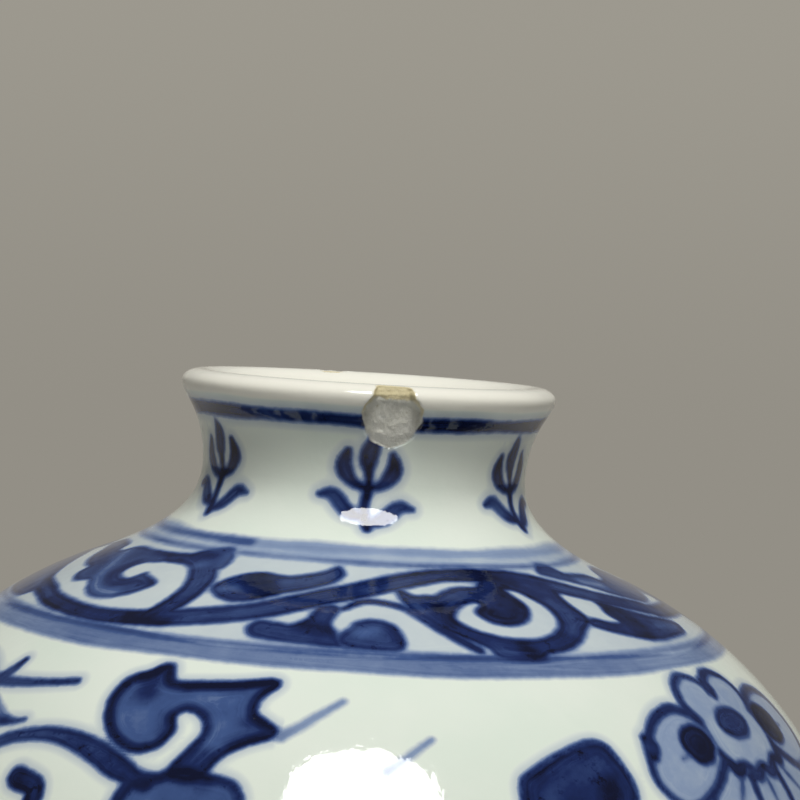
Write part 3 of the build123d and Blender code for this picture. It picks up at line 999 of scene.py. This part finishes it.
def coat_cells(wall, paint, settings):
    """Which cells of the chart are cut in four at each level, so that small cells follow edges,
    and how many rows of the widest cells there are."""
    low, high = wall.falls[0], wall.falls[-1]
    rows = int(round((high - low) / (FULL_TURN / COLUMNS)))
    splits = []
    present = np.ones((COLUMNS, rows), bool)
    for level in range(settings.levels + 1):
        n, m = COLUMNS * 2**level, rows * 2**level
        i, j = np.nonzero(present)
        angles = (i + 0.5) * FULL_TURN / n - pi
        falls = low + (j + 0.5) * (high - low) / m
        radii, lengths = wall.radius(falls), wall.length_at(falls)
        cell = FULL_TURN / n * radii
        front = within(FRONT, angles, lengths)
        wanted = np.where(front, settings.front_detail, settings.back_detail)
        gaps, _ = paint.measure(angles, falls, float(0.75 * cell.max() + 0.3))
        edge = np.min([abs(gaps[layer]) for layer in LAYERS], 0)
        # a cell is split where an edge may cross it, and a wider one in a patch of shade
        split = (edge < 0.72 * cell + 0.22) & (cell > wanted * 1.3)
        split |= (gaps["shade"] < cell) & (cell > wanted * 2.5)
        radial, upward = wall.normals(falls + (high - low) / m / 2)
        radial_back, upward_back = wall.normals(falls - (high - low) / m / 2)
        bend = np.arccos(np.clip(radial * radial_back + upward * upward_back, -1, 1))
        split |= bend > SHARPEST_BEND
        split |= within(CHIP_AREA, angles, lengths) & (cell > CHIP_CELL)
        split |= within(NICK_AREA, abs(angles), lengths) & (cell > NICK_CELL)
        if level == 0:
            split[:] = True
        grid = np.zeros((n, m), bool)
        if level < settings.levels:
            grid[i, j] = split
        splits.append(grid)
        present = grid.repeat(2, 0).repeat(2, 1)
    # neighbours may differ by one level only
    for level in range(settings.levels - 1, 0, -1):
        grid = splits[level]
        wide = grid | np.roll(grid, 1, 0) | np.roll(grid, -1, 0)
        wide[:, 1:] |= wide[:, :-1].copy()
        wide[:, :-1] |= wide[:, 1:].copy()
        n, m = wide.shape
        splits[level - 1] |= wide.reshape(n // 2, 2, m // 2, 2).any((1, 3))
    return splits, rows


def coat_faces(splits):
    """The mesh's faces as numbered corners of the chart's finest grid, four to a plain cell and
    fans of three round the middle of one with finer neighbours, and that grid's size."""
    levels = len(splits) - 1
    across, down = splits[-1].shape
    quads, fans = [], []
    for level, split in enumerate(splits):
        size = 2 ** (levels - level)
        if level:
            present = splits[level - 1].repeat(2, 0).repeat(2, 1)
        else:
            present = np.ones_like(split)
        i, j = np.nonzero(present & ~split)
        n, m = split.shape
        finer = [
            split[i, np.maximum(j - 1, 0)] & (j > 0), split[(i + 1) % n, j],
            split[i, np.minimum(j + 1, m - 1)] & (j < m - 1), split[(i - 1) % n, j]]
        left, top = i * size, j * size
        corners = [(left, top), (left + size, top), (left + size, top + size), (left, top + size)]
        keys = [x % across * (down + 1) + y for x, y in corners]
        whole = ~np.any(finer, 0)
        quads.append(np.stack([key[whole] for key in keys[::-1]], 1))
        centre = (left + size // 2) % across * (down + 1) + top + size // 2
        for side in range(4):
            start, end = keys[side], keys[(side + 1) % 4]
            (x0, y0), (x1, y1) = corners[side], corners[(side + 1) % 4]
            middle = (x0 + x1) // 2 % across * (down + 1) + (y0 + y1) // 2
            cut, uncut = finer[side] & ~whole, ~finer[side] & ~whole
            for kept, first, second in (
                    (uncut, end, start), (cut, middle, start), (cut, end, middle)):
                fans.append(np.stack([first[kept], second[kept], centre[kept]], 1))
    return np.concatenate(quads), np.concatenate(fans), across, down


def waves(places, scale, seed, octaves=4):
    """Soft seeded noise in -1 to 1 at places in mm, with features about scale across."""
    rng = np.random.default_rng(seed)
    total = np.zeros(len(places))
    weight = 0.0
    for octave in range(octaves):
        size = scale / 1.9**octave
        part = np.zeros(len(places))
        for _ in range(7):
            way = rng.normal(size=3)
            way /= np.linalg.norm(way)
            part += np.sin(places @ way * (FULL_TURN / size / rng.uniform(0.8, 1.25))
                           + rng.uniform(0, FULL_TURN))
        share = 0.6**octave
        total += part / 3.2 * share
        weight += share
    return np.clip(total / weight, -1, 1)


class Sheet:
    """The whole coat's places and faces, from which its bands are cut."""

    GUTTER = 0.006  # share of the bake's map left free round each strip
    MOST_STRIPS = 6

    def __init__(self, wall, paint, settings):
        splits, self.rows = coat_cells(wall, paint, settings)
        quads, fans, self.across, self.down = coat_faces(splits)
        keys, index = np.unique(np.concatenate([quads, fans], axis=None), return_inverse=True)
        self.faces = [index[:quads.size].reshape(-1, 4), index[quads.size:].reshape(-1, 3)]
        self.column, self.row = np.divmod(keys, self.down + 1)
        low, high = wall.falls[0], wall.falls[-1]
        angles = self.column * FULL_TURN / self.across - pi
        falls = low + self.row * (high - low) / self.down
        radii, heights, lengths = wall.radius(falls), wall.height(falls), wall.length_at(falls)
        radial, upward = wall.normals(falls)
        sines, cosines = np.sin(angles), np.cos(angles)
        places = np.column_stack([radii * sines, -radii * cosines, heights])
        self.normals = np.column_stack([radial * sines, -radial * cosines, upward])
        gaps, tones = paint.measure(angles, falls, FAR)
        self.values = {
            layer: np.clip(0.5 - gaps[layer] / (2 * FAR), 0, 1) for layer in LAYERS}
        self.values.update({f"{layer}_tone": tones[layer] for layer in LAYERS})
        self.values["shade"] = tones["shade"]
        self.places, self.values["bare"], self.values["stain"], self.moved = break_lip(
            wall.line[:, 1].max(), settings.chip_roughness, places, angles, radii, lengths)

    def row_near(self, wall, length):
        """The widest cells' row border nearest to a length along the wall, on the finest grid."""
        low, high = wall.falls[0], wall.falls[-1]
        share = (wall.fall_at(length) - low) / (high - low)
        return int(np.clip(round(share * self.rows), 1, self.rows)) * (self.down // self.rows)

    def band(self, name, top, bottom, material):
        """The coat between two rows of the finest grid, as an object."""
        faces = []
        for group in self.faces:
            middle = self.row[group].mean(1)
            faces.append(group[(middle > top) & (middle < bottom)])
        corners = np.concatenate(faces, axis=None)
        used, index = np.unique(corners, return_inverse=True)
        sizes = np.concatenate([np.full(len(part), part.shape[1]) for part in faces])
        starts = np.concatenate([[0], np.cumsum(sizes)[:-1]])
        mesh = bpy.data.meshes.new(name)
        mesh.vertices.add(len(used))
        mesh.vertices.foreach_set("co", (self.places[used] * MM).ravel())
        mesh.loops.add(len(index))
        mesh.loops.foreach_set("vertex_index", index.astype(np.int32))
        mesh.polygons.add(len(sizes))
        mesh.polygons.foreach_set("loop_start", starts.astype(np.int32))
        mesh.update(calc_edges=True)
        mesh.polygons.foreach_set("use_smooth", np.ones(len(sizes), bool))
        layout = self.bake_map(corners, sizes, starts, top, bottom)
        mesh.uv_layers.new(name="OFBake").data.foreach_set("uv", layout.ravel())
        for label, value in self.values.items():
            layer = mesh.attributes.new(label, "FLOAT", "POINT")
            layer.data.foreach_set("value", value[used])
        vectors = np.where(self.moved[used][:, None], 0, self.normals[used])
        mesh.normals_split_custom_set_from_vertices(vectors.tolist())
        mesh.materials.append(material)
        piece = bpy.data.objects.new(name, mesh)
        bpy.context.scene.collection.objects.link(piece)
        return piece

    def bake_map(self, corners, sizes, starts, top, bottom):
        """Each face corner's place on the bake's map, for which a band is cut into as many stacked
        strips as suit its shape."""
        width = FULL_TURN * self.places[corners, 0].max()
        tall = (bottom - top) * width / self.across
        strips = int(np.clip(round((width / tall) ** 0.5), 1, self.MOST_STRIPS))
        columns_each = self.across / strips
        columns = self.column[corners].astype(float)
        face_of_corner = np.repeat(np.arange(len(sizes)), sizes)
        span = np.maximum.reduceat(columns, starts) - np.minimum.reduceat(columns, starts)
        wraps = (span > self.across / 2)[face_of_corner]
        columns[wraps & (columns < self.across / 2)] += self.across
        strip = np.floor(np.minimum.reduceat(columns, starts) / columns_each)[face_of_corner]
        u = (columns - strip * columns_each) / columns_each
        v = (self.row[corners] - top) / (bottom - top)
        edge = self.GUTTER * strips
        return np.column_stack([
            self.GUTTER + u * (1 - 2 * self.GUTTER),
            (strip + edge + (1 - v) * (1 - 2 * edge)) / strips])


def build_coat(wall, settings, material):
    """The painted coat as one fitted set of turned bands."""
    paint = Painting(wall)
    paint_neck(paint, wall)
    paint_shoulder(paint, wall)
    paint_field(paint, wall)
    paint_foot(paint, wall)
    sheet = Sheet(wall, paint, settings)
    made = []
    top = 0
    for name, length in COAT_PIECES:
        bottom = sheet.row_near(wall, length)
        made.append(sheet.band(name, top, bottom, material))
        top = bottom
    return made


# Materials


def set_inputs(tree, node, inputs):
    """Sets a node's inputs to values, or links them from sockets."""
    for name, value in inputs.items():
        if isinstance(value, bpy.types.NodeSocket):
            tree.links.new(value, node.inputs[name])
        else:
            node.inputs[name].default_value = value


def add_node(tree, kind, inputs=None, **settings):
    """A node with its settings and inputs."""
    node = tree.nodes.new(kind)
    for name, value in settings.items():
        setattr(node, name, value)
    set_inputs(tree, node, inputs or {})
    return node


def number(tree, operation, *values):
    """The result of a Math node."""
    return add_node(
        tree, "ShaderNodeMath", dict(enumerate(values)), operation=operation).outputs[0]


def product(tree, first, *others):
    """Values multiplied together."""
    for value in others:
        first = number(tree, "MULTIPLY", first, value)
    return first


def greatest(tree, first, *others):
    """The greatest of several values."""
    for value in others:
        first = number(tree, "MAXIMUM", first, value)
    return first


def smooth_range(tree, value, low, high, start=0.0, end=1.0):
    """A value that passes gently from start to end as another one goes from low to high."""
    return add_node(
        tree, "ShaderNodeMapRange",
        {"Value": value, "From Min": low, "From Max": high, "To Min": start, "To Max": end},
        interpolation_type="SMOOTHSTEP").outputs[0]


def blend_colour(tree, share, first, second):
    """Two colours mixed by a share of the second."""
    first, second = (
        colour if isinstance(colour, bpy.types.NodeSocket) else (*colour[:3], 1)
        for colour in (first, second))
    return add_node(
        tree, "ShaderNodeMix", {0: share, 6: first, 7: second}, data_type="RGBA").outputs[2]


def attribute(tree, name):
    """A value that the mesh holds for each of its places."""
    return add_node(tree, "ShaderNodeAttribute", attribute_name=name).outputs["Fac"]


def object_place(tree):
    """Where a point of the surface lies in the vase's own space."""
    return add_node(tree, "ShaderNodeTexCoord").outputs["Object"]


def height_up(tree):
    """A point's height in metres over the foot's resting plane."""
    return add_node(tree, "ShaderNodeSeparateXYZ", {0: object_place(tree)}).outputs["Z"]


def noise(tree, size, detail=2.0, roughness=0.5):
    """Noise in the vase's own space, with features about size across, in mm."""
    return add_node(
        tree, "ShaderNodeTexNoise",
        {"Vector": object_place(tree), "Scale": 1 / (size * MM), "Detail": detail,
         "Roughness": roughness}).outputs["Fac"]


def group_tree(name, inputs, outputs):
    """An empty node group with its sockets, and its input and output nodes."""
    tree = bpy.data.node_groups.new(name, "ShaderNodeTree")
    for label, default in inputs.items():
        socket = tree.interface.new_socket(label, in_out="INPUT", socket_type="NodeSocketFloat")
        socket.default_value = default
    for label in outputs:
        tree.interface.new_socket(label, in_out="OUTPUT", socket_type="NodeSocketFloat")
    return tree, tree.nodes.new("NodeGroupInput"), tree.nodes.new("NodeGroupOutput")


def glaze_skin_group():
    """The faint waviness and pinholes of a fired glaze, as a height, and a slow drift of tint."""
    tree, given, result = group_tree(
        "glaze_skin", {"Waviness": 1.0, "Pinholes": 0.3}, ("Height", "Tint"))
    swell = noise(tree, 9, 2, 0.4)
    orange_peel = noise(tree, 1.7, 2, 0.55)
    height = product(tree, number(tree, "ADD", orange_peel, swell), given.outputs["Waviness"])
    specks = smooth_range(tree, noise(tree, 0.5, 1, 0.5), 0.74, 0.82)
    pinholes = product(tree, specks, given.outputs["Pinholes"])
    set_inputs(tree, result, {
        "Height": number(tree, "SUBTRACT", height, pinholes), "Tint": noise(tree, 22, 3, 0.5)})
    return tree


def clay_grain_group():
    """The grain of bare porcelain, as a height, and its mottling and ingrained dirt as masks."""
    tree, given, result = group_tree(
        "clay_grain", {"Coarseness": 1.0}, ("Height", "Mottle", "Dirt"))
    fine = noise(tree, 0.35, 4, 0.7)
    lumps = noise(tree, 1.8, 3, 0.6)
    set_inputs(tree, result, {
        "Height": number(tree, "MULTIPLY_ADD", lumps, given.outputs["Coarseness"], fine),
        "Mottle": smooth_range(tree, noise(tree, 2.4, 4, 0.65), 0.35, 0.65),
        "Dirt": smooth_range(tree, noise(tree, 0.8, 4, 0.7), 0.58, 0.72)})
    return tree


def shared_groups():
    """The two node groups, made once."""
    made = {"skin": ("glaze_skin", glaze_skin_group), "grain": ("clay_grain", clay_grain_group)}
    return {key: bpy.data.node_groups.get(name) or make() for key, (name, make) in made.items()}


def new_material(name):
    """A material with a Principled shader, its node tree and that shader."""
    material = bpy.data.materials.new(name)
    material.use_nodes = True
    tree = material.node_tree
    tree.nodes.clear()
    shader = tree.nodes.new("ShaderNodeBsdfPrincipled")
    add_node(tree, "ShaderNodeOutputMaterial", {"Surface": shader.outputs[0]})
    return material, tree, shader


def use_group(tree, group, **values):
    """A node group placed in a material with its own values."""
    node = tree.nodes.new("ShaderNodeGroup")
    node.node_tree = group
    set_inputs(tree, node, values)
    return node.outputs


def finish(tree, shader, colour, roughness, height):
    """Gives a shader its colour, its roughness and its relief, as a height in metres."""
    bump = add_node(tree, "ShaderNodeBump", {"Height": height, "Distance": 1.0, "Strength": 1.0})
    set_inputs(
        tree, shader, {"Base Color": colour, "Roughness": roughness, "Normal": bump.outputs[0]})


THICK_GLAZE = (0.93, 0.965, 0.95)  # what a thick layer leaves of the glaze's red, green and blue
LIP_FADE = (6 * MM, 2 * MM)  # under the rim, between which the lip's creamier, lighter colour comes in: thin glaze, and partly painted light where the lip's top catches the lamp


def glaze_colour(tree, skin, glaze, lip):
    """The glaze's own colour, a little greener and darker where it lies thick, and creamier and
    lighter on the lip: partly thin glaze that ran down from it, partly painted light on the lip's
    top, which catches the lamp."""
    thick = tuple(part * share for part, share in zip(glaze, THICK_GLAZE))
    colour = blend_colour(tree, smooth_range(tree, skin["Tint"], 0.35, 0.7), glaze, thick)
    start, end = (CAD_BOX[1][2] - drop for drop in LIP_FADE)
    return blend_colour(tree, smooth_range(tree, height_up(tree), start, end), colour, lip)


HAIR_WIDTH = 0.32  # mm, of the streaks that the brush's hairs leave
HAIR_DRIFT = 190  # how often a metre the streaks change along a stroke


def brush_hairs(tree, depth):
    """Noise in streaks that run along a stroke, from its own measure of depth from the edge."""
    slow = add_node(
        tree, "ShaderNodeVectorMath", {0: object_place(tree), 1: (HAIR_DRIFT,) * 3},
        operation="MULTIPLY")
    fast = add_node(
        tree, "ShaderNodeCombineXYZ", {"X": product(tree, depth, 2 * FAR / HAIR_WIDTH)})
    both = add_node(
        tree, "ShaderNodeVectorMath", {0: slow.outputs[0], 1: fast.outputs[0]}, operation="ADD")
    return add_node(
        tree, "ShaderNodeTexNoise",
        {"Vector": both.outputs[0], "Scale": 1.0, "Detail": 2.0}).outputs["Fac"]


def cobalt_density(tree, cobalt):
    """How much cobalt lies at each place, from none to 1 for a heaped spot."""
    feather = cobalt.bleed / (4 * FAR)
    wander = product(tree, number(tree, "SUBTRACT", noise(tree, 1.4, 3, 0.6), 0.5), 0.1)
    thickness = attribute(tree, "shade")
    mottle = number(tree, "SUBTRACT", noise(tree, 3.2, 4, 0.62), 0.5)
    densities = []
    # each layer's body, how much more pools along its edge, and how unevenly it is laid
    for layer, body, pooled, drift in (("wash", 0.95, 0.1, 0.3), ("line", 0.92, 0.17, 0.3)):
        value = number(tree, "ADD", attribute(tree, layer), wander)
        cover = smooth_range(tree, value, 0.5 - feather, 0.5 + feather)
        strength = number(tree, "ADD", smooth_range(tree, value, 0.56, 0.8, pooled, 0.0), body)
        hairs = number(tree, "SUBTRACT", brush_hairs(tree, value), 0.5)
        for unevenness in (mottle, hairs):
            strength = number(tree, "MULTIPLY_ADD", unevenness, drift, strength)
        tone = number(tree, "ADD", attribute(tree, f"{layer}_tone"), thickness)
        densities.append(product(tree, tone, strength, cover))
    wash, line = densities
    under = product(tree, number(tree, "SUBTRACT", 1.0, line), 0.9)
    density = number(tree, "MULTIPLY_ADD", wash, under, line)
    spots = product(tree, smooth_range(tree, noise(tree, 1.9, 3, 0.65), 0.58, 0.74), 0.16)
    laid = smooth_range(tree, density, 0.5, 0.8)
    density = number(tree, "MULTIPLY_ADD", spots, laid, density)
    drifting = smooth_range(tree, attribute(tree, "line"), 0.06, 0.5)
    heavy = smooth_range(tree, attribute(tree, "line_tone"), 0.35, 0.75)
    return greatest(tree, density, product(tree, drifting, heavy, cobalt.halo))


def cobalt_colour(tree, density, cobalt):
    """The blue of each density of cobalt under the glaze."""
    ramp = add_node(tree, "ShaderNodeValToRGB", {0: density})
    stops = ramp.color_ramp.elements
    shades = [(0.0, cobalt.glaze), (0.3, cobalt.pale), (0.56, cobalt.middle), (0.82, cobalt.deep),
              (1.0, cobalt.heaped)]
    for place, _ in shades[1:-1]:
        stops.new(place)
    for stop, (place, colour) in zip(stops, shades):
        stop.position, stop.color = place, (*colour, 1)
    return ramp.outputs[0]


CHALKY = (0.72, 0.71, 0.66)  # the paler grain of the broken clay


def broken_colour(tree, grain, clay):
    """The colour of the chip's clay, with its grain, its specks of dirt, its old stain and the
    painted shade up its flanks in the stain's colour.
    """
    dirt = tuple(part * 0.45 for part in clay.stain)
    colour = blend_colour(tree, product(tree, grain["Dirt"], 0.55), clay.bare, dirt)
    colour = blend_colour(tree, product(tree, grain["Mottle"], 0.35), colour, CHALKY)
    # share of the old stain and of the painted shade up the chip's flanks
    stain_and_shade_share = smooth_range(tree, attribute(tree, "stain"), 0.2, 0.7)
    return blend_colour(tree, stain_and_shade_share, colour, clay.stain)


def painted_glaze(groups, cobalt, clay):
    """The decorated coat: cobalt under clear glaze, and bare clay where the lip is chipped."""
    material, tree, shader = new_material("painted_glaze")
    skin = use_group(tree, groups["skin"], Waviness=1.0, Pinholes=0.25)
    grain = use_group(tree, groups["grain"], Coarseness=1.2)
    density = cobalt_density(tree, cobalt)
    painted = smooth_range(tree, density, 0.0, 0.05)
    colour = blend_colour(
        tree, painted, glaze_colour(tree, skin, cobalt.glaze, cobalt.lip),
        cobalt_colour(tree, density, cobalt))
    ragged = number(tree, "MULTIPLY_ADD", grain["Mottle"], 0.25, attribute(tree, "bare"))
    bare = smooth_range(tree, ragged, 0.3, 1.0)
    colour = blend_colour(tree, bare, colour, broken_colour(tree, grain, clay))
    relief = add_node(tree, "ShaderNodeMix", {
        0: bare, 2: product(tree, skin["Height"], 0.025 * MM),
        3: product(tree, grain["Height"], 0.12 * MM)})
    finish(tree, shader, colour, smooth_range(tree, bare, 0, 1, 0.04, 0.72), relief.outputs[0])
    return material


def clear_glaze(groups, cobalt):
    """The plain coat inside the vase and under its base."""
    material, tree, shader = new_material("clear_glaze")
    skin = use_group(tree, groups["skin"], Waviness=1.3, Pinholes=0.6)
    colour = glaze_colour(tree, skin, cobalt.glaze, cobalt.lip)
    finish(tree, shader, colour, 0.1, product(tree, skin["Height"], 0.03 * MM))
    return material


BURNT_START = (4.2 * MM, 5.8 * MM)  # heights between which the foot's rusty line comes in
BURNT_END = (8 * MM, 12 * MM)  # and between which it is gone again


def bare_porcelain(groups, clay):
    """Unglazed porcelain, burnt rusty in a thin line where the glaze of the foot begins."""
    material, tree, shader = new_material("porcelain")
    grain = use_group(tree, groups["grain"], Coarseness=0.6)
    ragged = number(tree, "MULTIPLY_ADD", noise(tree, 2.5, 3, 0.6), 2.2 * MM, height_up(tree))
    burnt = product(
        tree, smooth_range(tree, ragged, *BURNT_START),
        smooth_range(tree, ragged, *BURNT_END, 1.0, 0.0), 0.75)
    colour = blend_colour(tree, product(tree, grain["Dirt"], 0.4), clay.bare, clay.stain)
    finish(
        tree, shader, blend_colour(tree, burnt, colour, clay.burnt),
        smooth_range(tree, grain["Mottle"], 0, 1, 0.62, 0.78),
        product(tree, grain["Height"], 0.06 * MM))
    return material


def luting_slip(groups, clay):
    """The slip that joins the thrown sections, smoother than the clay and a little darker."""
    material, tree, shader = new_material("luting_slip")
    grain = use_group(tree, groups["grain"], Coarseness=0.3)
    darker = tuple(part * 0.9 for part in clay.bare)
    colour = blend_colour(tree, grain["Mottle"], clay.bare, darker)
    finish(tree, shader, colour, 0.7, product(tree, grain["Height"], 0.03 * MM))
    return material


def wear(node, material):
    """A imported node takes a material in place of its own."""
    node.data.materials.clear()
    node.data.materials.append(material)


# Operators


class MEIPING_OT_paint_coat(bpy.types.Operator):
    """Build the painted glaze coat in bands, with the lip's chip"""

    bl_idname = "meiping.paint_coat"
    bl_label = "Painted coat"

    def execute(self, context):
        scene = context.scene
        wall = Wall(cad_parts["outer_glaze"])
        material = painted_glaze(shared_groups(), scene.meiping_cobalt, scene.meiping_clay)
        for piece in build_coat(wall, scene.meiping_coat, material):
            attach(piece, "root")
            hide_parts("outer_glaze")
        return {"FINISHED"}


class MEIPING_OT_finish_body(bpy.types.Operator):
    """Give the thrown sections, their slip and the plain coats their finishes"""

    bl_idname = "meiping.finish_body"
    bl_label = "Body and plain glaze"

    def execute(self, context):
        scene = context.scene
        groups = shared_groups()
        finishes = {
            bare_porcelain(groups, scene.meiping_clay): ("neck", "shoulder", "belly", "lower_body"),
            luting_slip(groups, scene.meiping_clay): ("neck_slip", "shoulder_slip", "lower_slip"),
            clear_glaze(groups, scene.meiping_cobalt): ("inner_glaze", "base_glaze")}
        for material, names in finishes.items():
            for name in names:
                wear(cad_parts[name], material)
        return {"FINISHED"}


LAMP_COLOUR = (1.0, 0.995, 0.98)
LAMPS = [  # name, power's setting, azimuth from the front, elevation, distance and size in m, use
    ("window_lamp", "window_power", 8, 64, 1.35, (0.55, 0.36), "diffuse"),
    ("window_gloss", "gloss_power", 7, 55.3, 1.3, (0.68, 0.7), "glossy"),
    ("rear_fill", "fill_power", 180, 18, 1.3, (0.9, 0.9), "diffuse")]
FLOOR_RADIUS, FLOOR_RINGS, FLOOR_SIDES = 4.0, 24, 96
FLOOR_FADE = (0.3, 0.9)  # metres from the vase, between which the floor passes into the backdrop

# The photograph's frame: the pixel of the rim's middle, and the side in pixels and as a sensor
RIM_PIXEL = (369.7, 377.7)
IMAGE_SIDE = 800
SENSOR = 36.0


class MEIPING_OT_stage(bpy.types.Operator):
    """Set up the floor, the backdrop, the lamps and the camera"""

    bl_idname = "meiping.stage"
    bl_label = "Studio"

    def execute(self, context):
        scene = context.scene
        settings = scene.meiping_stage
        top = Vector((0, 0, CAD_BOX[1][2]))
        self.floor(scene, settings)
        self.world(scene, settings)
        for name, power, *rest in LAMPS:
            self.lamp(scene, name, getattr(settings, power), top, *rest)
        self.camera(scene, settings, top)
        return {"FINISHED"}

    @staticmethod
    def floor(scene, settings):
        """A wide round floor, which passes into the backdrop's colour away from the vase."""
        mesh = bpy.data.meshes.new("floor")
        reach = [FLOOR_RADIUS * (k / FLOOR_RINGS) ** 2 for k in range(1, FLOOR_RINGS + 1)]
        turns = [FULL_TURN * k / FLOOR_SIDES for k in range(FLOOR_SIDES)]
        places = [(0, 0, 0)] + [(r * sin(turn), r * cos(turn), 0) for r in reach for turn in turns]
        after = [(k + 1) % FLOOR_SIDES for k in range(FLOOR_SIDES)]
        faces = [(0, 1 + after[k], 1 + k) for k in range(FLOOR_SIDES)]
        for inner in range(1, 1 + (FLOOR_RINGS - 1) * FLOOR_SIDES, FLOOR_SIDES):
            outer = inner + FLOOR_SIDES
            faces += [
                (inner + k, inner + after[k], outer + after[k], outer + k)
                for k in range(FLOOR_SIDES)]
        mesh.from_pydata(places, [], faces)
        floor = bpy.data.objects.new("floor", mesh)
        scene.collection.objects.link(floor)
        material, tree, shader = new_material("floor")
        set_inputs(tree, shader, {"Base Color": (*settings.floor, 1), "Roughness": 0.9})
        away = add_node(
            tree, "ShaderNodeVectorMath", {0: object_place(tree)}, operation="LENGTH")
        fade = smooth_range(tree, away.outputs["Value"], *FLOOR_FADE)
        glow = add_node(tree, "ShaderNodeEmission", {"Color": (*settings.backdrop, 1)})
        rays = tree.nodes.new("ShaderNodeLightPath").outputs
        seen = greatest(
            tree, rays["Is Camera Ray"], rays["Is Glossy Ray"], rays["Is Transmission Ray"])
        mix = add_node(tree, "ShaderNodeMixShader", {
            0: product(tree, seen, fade), 1: shader.outputs[0], 2: glow.outputs[0]})
        set_inputs(tree, tree.get_output_node("ALL"), {"Surface": mix.outputs[0]})
        mesh.materials.append(material)

    @staticmethod
    def world(scene, settings):
        """The backdrop where the camera sees it or the glaze mirrors it from behind, and an even
        soft light elsewhere."""
        world = bpy.data.worlds.new("studio")
        world.use_nodes = True
        tree = world.node_tree
        tree.nodes.clear()
        rays = tree.nodes.new("ShaderNodeLightPath").outputs
        where = add_node(tree, "ShaderNodeTexCoord").outputs["Generated"]
        way = add_node(tree, "ShaderNodeSeparateXYZ", {0: where}).outputs
        behind = product(
            tree, smooth_range(tree, way["Y"], 0.7, 0.99),
            smooth_range(tree, way["Z"], 0.1, 0.35, 1.0, 0.0))
        mirrored_back = product(tree, rays["Is Glossy Ray"], behind)
        seen = greatest(tree, rays["Is Camera Ray"], mirrored_back, rays["Is Transmission Ray"])
        share = smooth_range(tree, way["Z"], -0.06, 0.11)
        colour = blend_colour(tree, share, settings.backdrop, settings.upper_backdrop)
        shown = add_node(tree, "ShaderNodeBackground", {"Color": colour, "Strength": 1.0})
        soft = add_node(tree, "ShaderNodeBackground", {
            "Color": (*LAMP_COLOUR, 1), "Strength": settings.room_light})
        mix = add_node(
            tree, "ShaderNodeMixShader", {0: seen, 1: soft.outputs[0], 2: shown.outputs[0]})
        add_node(tree, "ShaderNodeOutputWorld", {"Surface": mix.outputs[0]})
        scene.world = world

    @staticmethod
    def lamp(scene, name, power, target, azimuth, elevation, distance, size, use):
        """A soft oval lamp, which lights the vase or is only mirrored in it."""
        light = bpy.data.lights.new(name, "AREA")
        light.shape, light.size, light.size_y = "ELLIPSE", *size
        light.energy, light.color = power, LAMP_COLOUR
        lamp = bpy.data.objects.new(name, light)
        lamp.visible_glossy, lamp.visible_diffuse = use == "glossy", use == "diffuse"
        a, e = radians(azimuth), radians(elevation)
        way = Vector((sin(a) * cos(e), -cos(a) * cos(e), sin(e)))
        lamp.location = target + way * distance
        lamp.rotation_euler = way.to_track_quat("Z", "Y").to_euler()
        lamp.visible_camera = False
        scene.collection.objects.link(lamp)

    @staticmethod
    def camera(scene, settings, rim):
        """The camera, set so that the rim's middle falls on its pixel in the photograph's frame."""
        data = bpy.data.cameras.new("camera")
        data.lens, data.sensor_width, data.clip_start = settings.lens, SENSOR, 0.01
        camera = bpy.data.objects.new("camera", data)
        forward = Vector((0, cos(settings.tilt), -sin(settings.tilt)))
        level_up = Vector((0, sin(settings.tilt), cos(settings.tilt)))
        level_right = Vector((1, 0, 0))
        right = level_right * cos(settings.roll) + level_up * sin(settings.roll)
        up = level_up * cos(settings.roll) - level_right * sin(settings.roll)
        focal = settings.lens / SENSOR * IMAGE_SIDE
        aside, below = (
            (pixel - IMAGE_SIDE / 2) / focal * settings.camera_distance for pixel in RIM_PIXEL)
        place = rim - right * aside + up * below - forward * settings.camera_distance
        turn = Matrix((right, up, -forward)).transposed()
        camera.matrix_world = Matrix.Translation(place) @ turn.to_4x4()
        scene.collection.objects.link(camera)
        scene.camera = camera
        scene.view_settings.view_transform = "Standard"


class MEIPING_PT_dressing(bpy.types.Panel):
    """The vase's settings and the steps that dress it"""

    bl_idname = "MEIPING_PT_dressing"
    bl_label = "Meiping vase"
    bl_space_type = "VIEW_3D"
    bl_region_type = "UI"
    bl_category = "Meiping"

    def draw(self, context):
        for settings in SETTINGS:
            group = getattr(context.scene, settings)
            box = self.layout.box()
            for name in group.__annotations__:
                box.prop(group, name)
        for step in STEPS:
            self.layout.operator(step.bl_idname)


SETTINGS = {
    "meiping_coat": CoatSettings, "meiping_cobalt": CobaltSettings, "meiping_clay": ClaySettings,
    "meiping_stage": StageSettings}
STEPS = (MEIPING_OT_paint_coat, MEIPING_OT_finish_body, MEIPING_OT_stage)
CLASSES = (*SETTINGS.values(), *STEPS, MEIPING_PT_dressing)


def register():
    for part in CLASSES:
        bpy.utils.register_class(part)
    for name, kind in SETTINGS.items():
        setattr(bpy.types.Scene, name, PointerProperty(type=kind))


def unregister():
    for name in SETTINGS:
        delattr(bpy.types.Scene, name)
    for part in reversed(CLASSES):
        bpy.utils.unregister_class(part)


def main():
    register()
    bpy.ops.meiping.paint_coat()
    bpy.ops.meiping.finish_body()
    bpy.ops.meiping.stage()


if __name__ == "__main__":
    main()
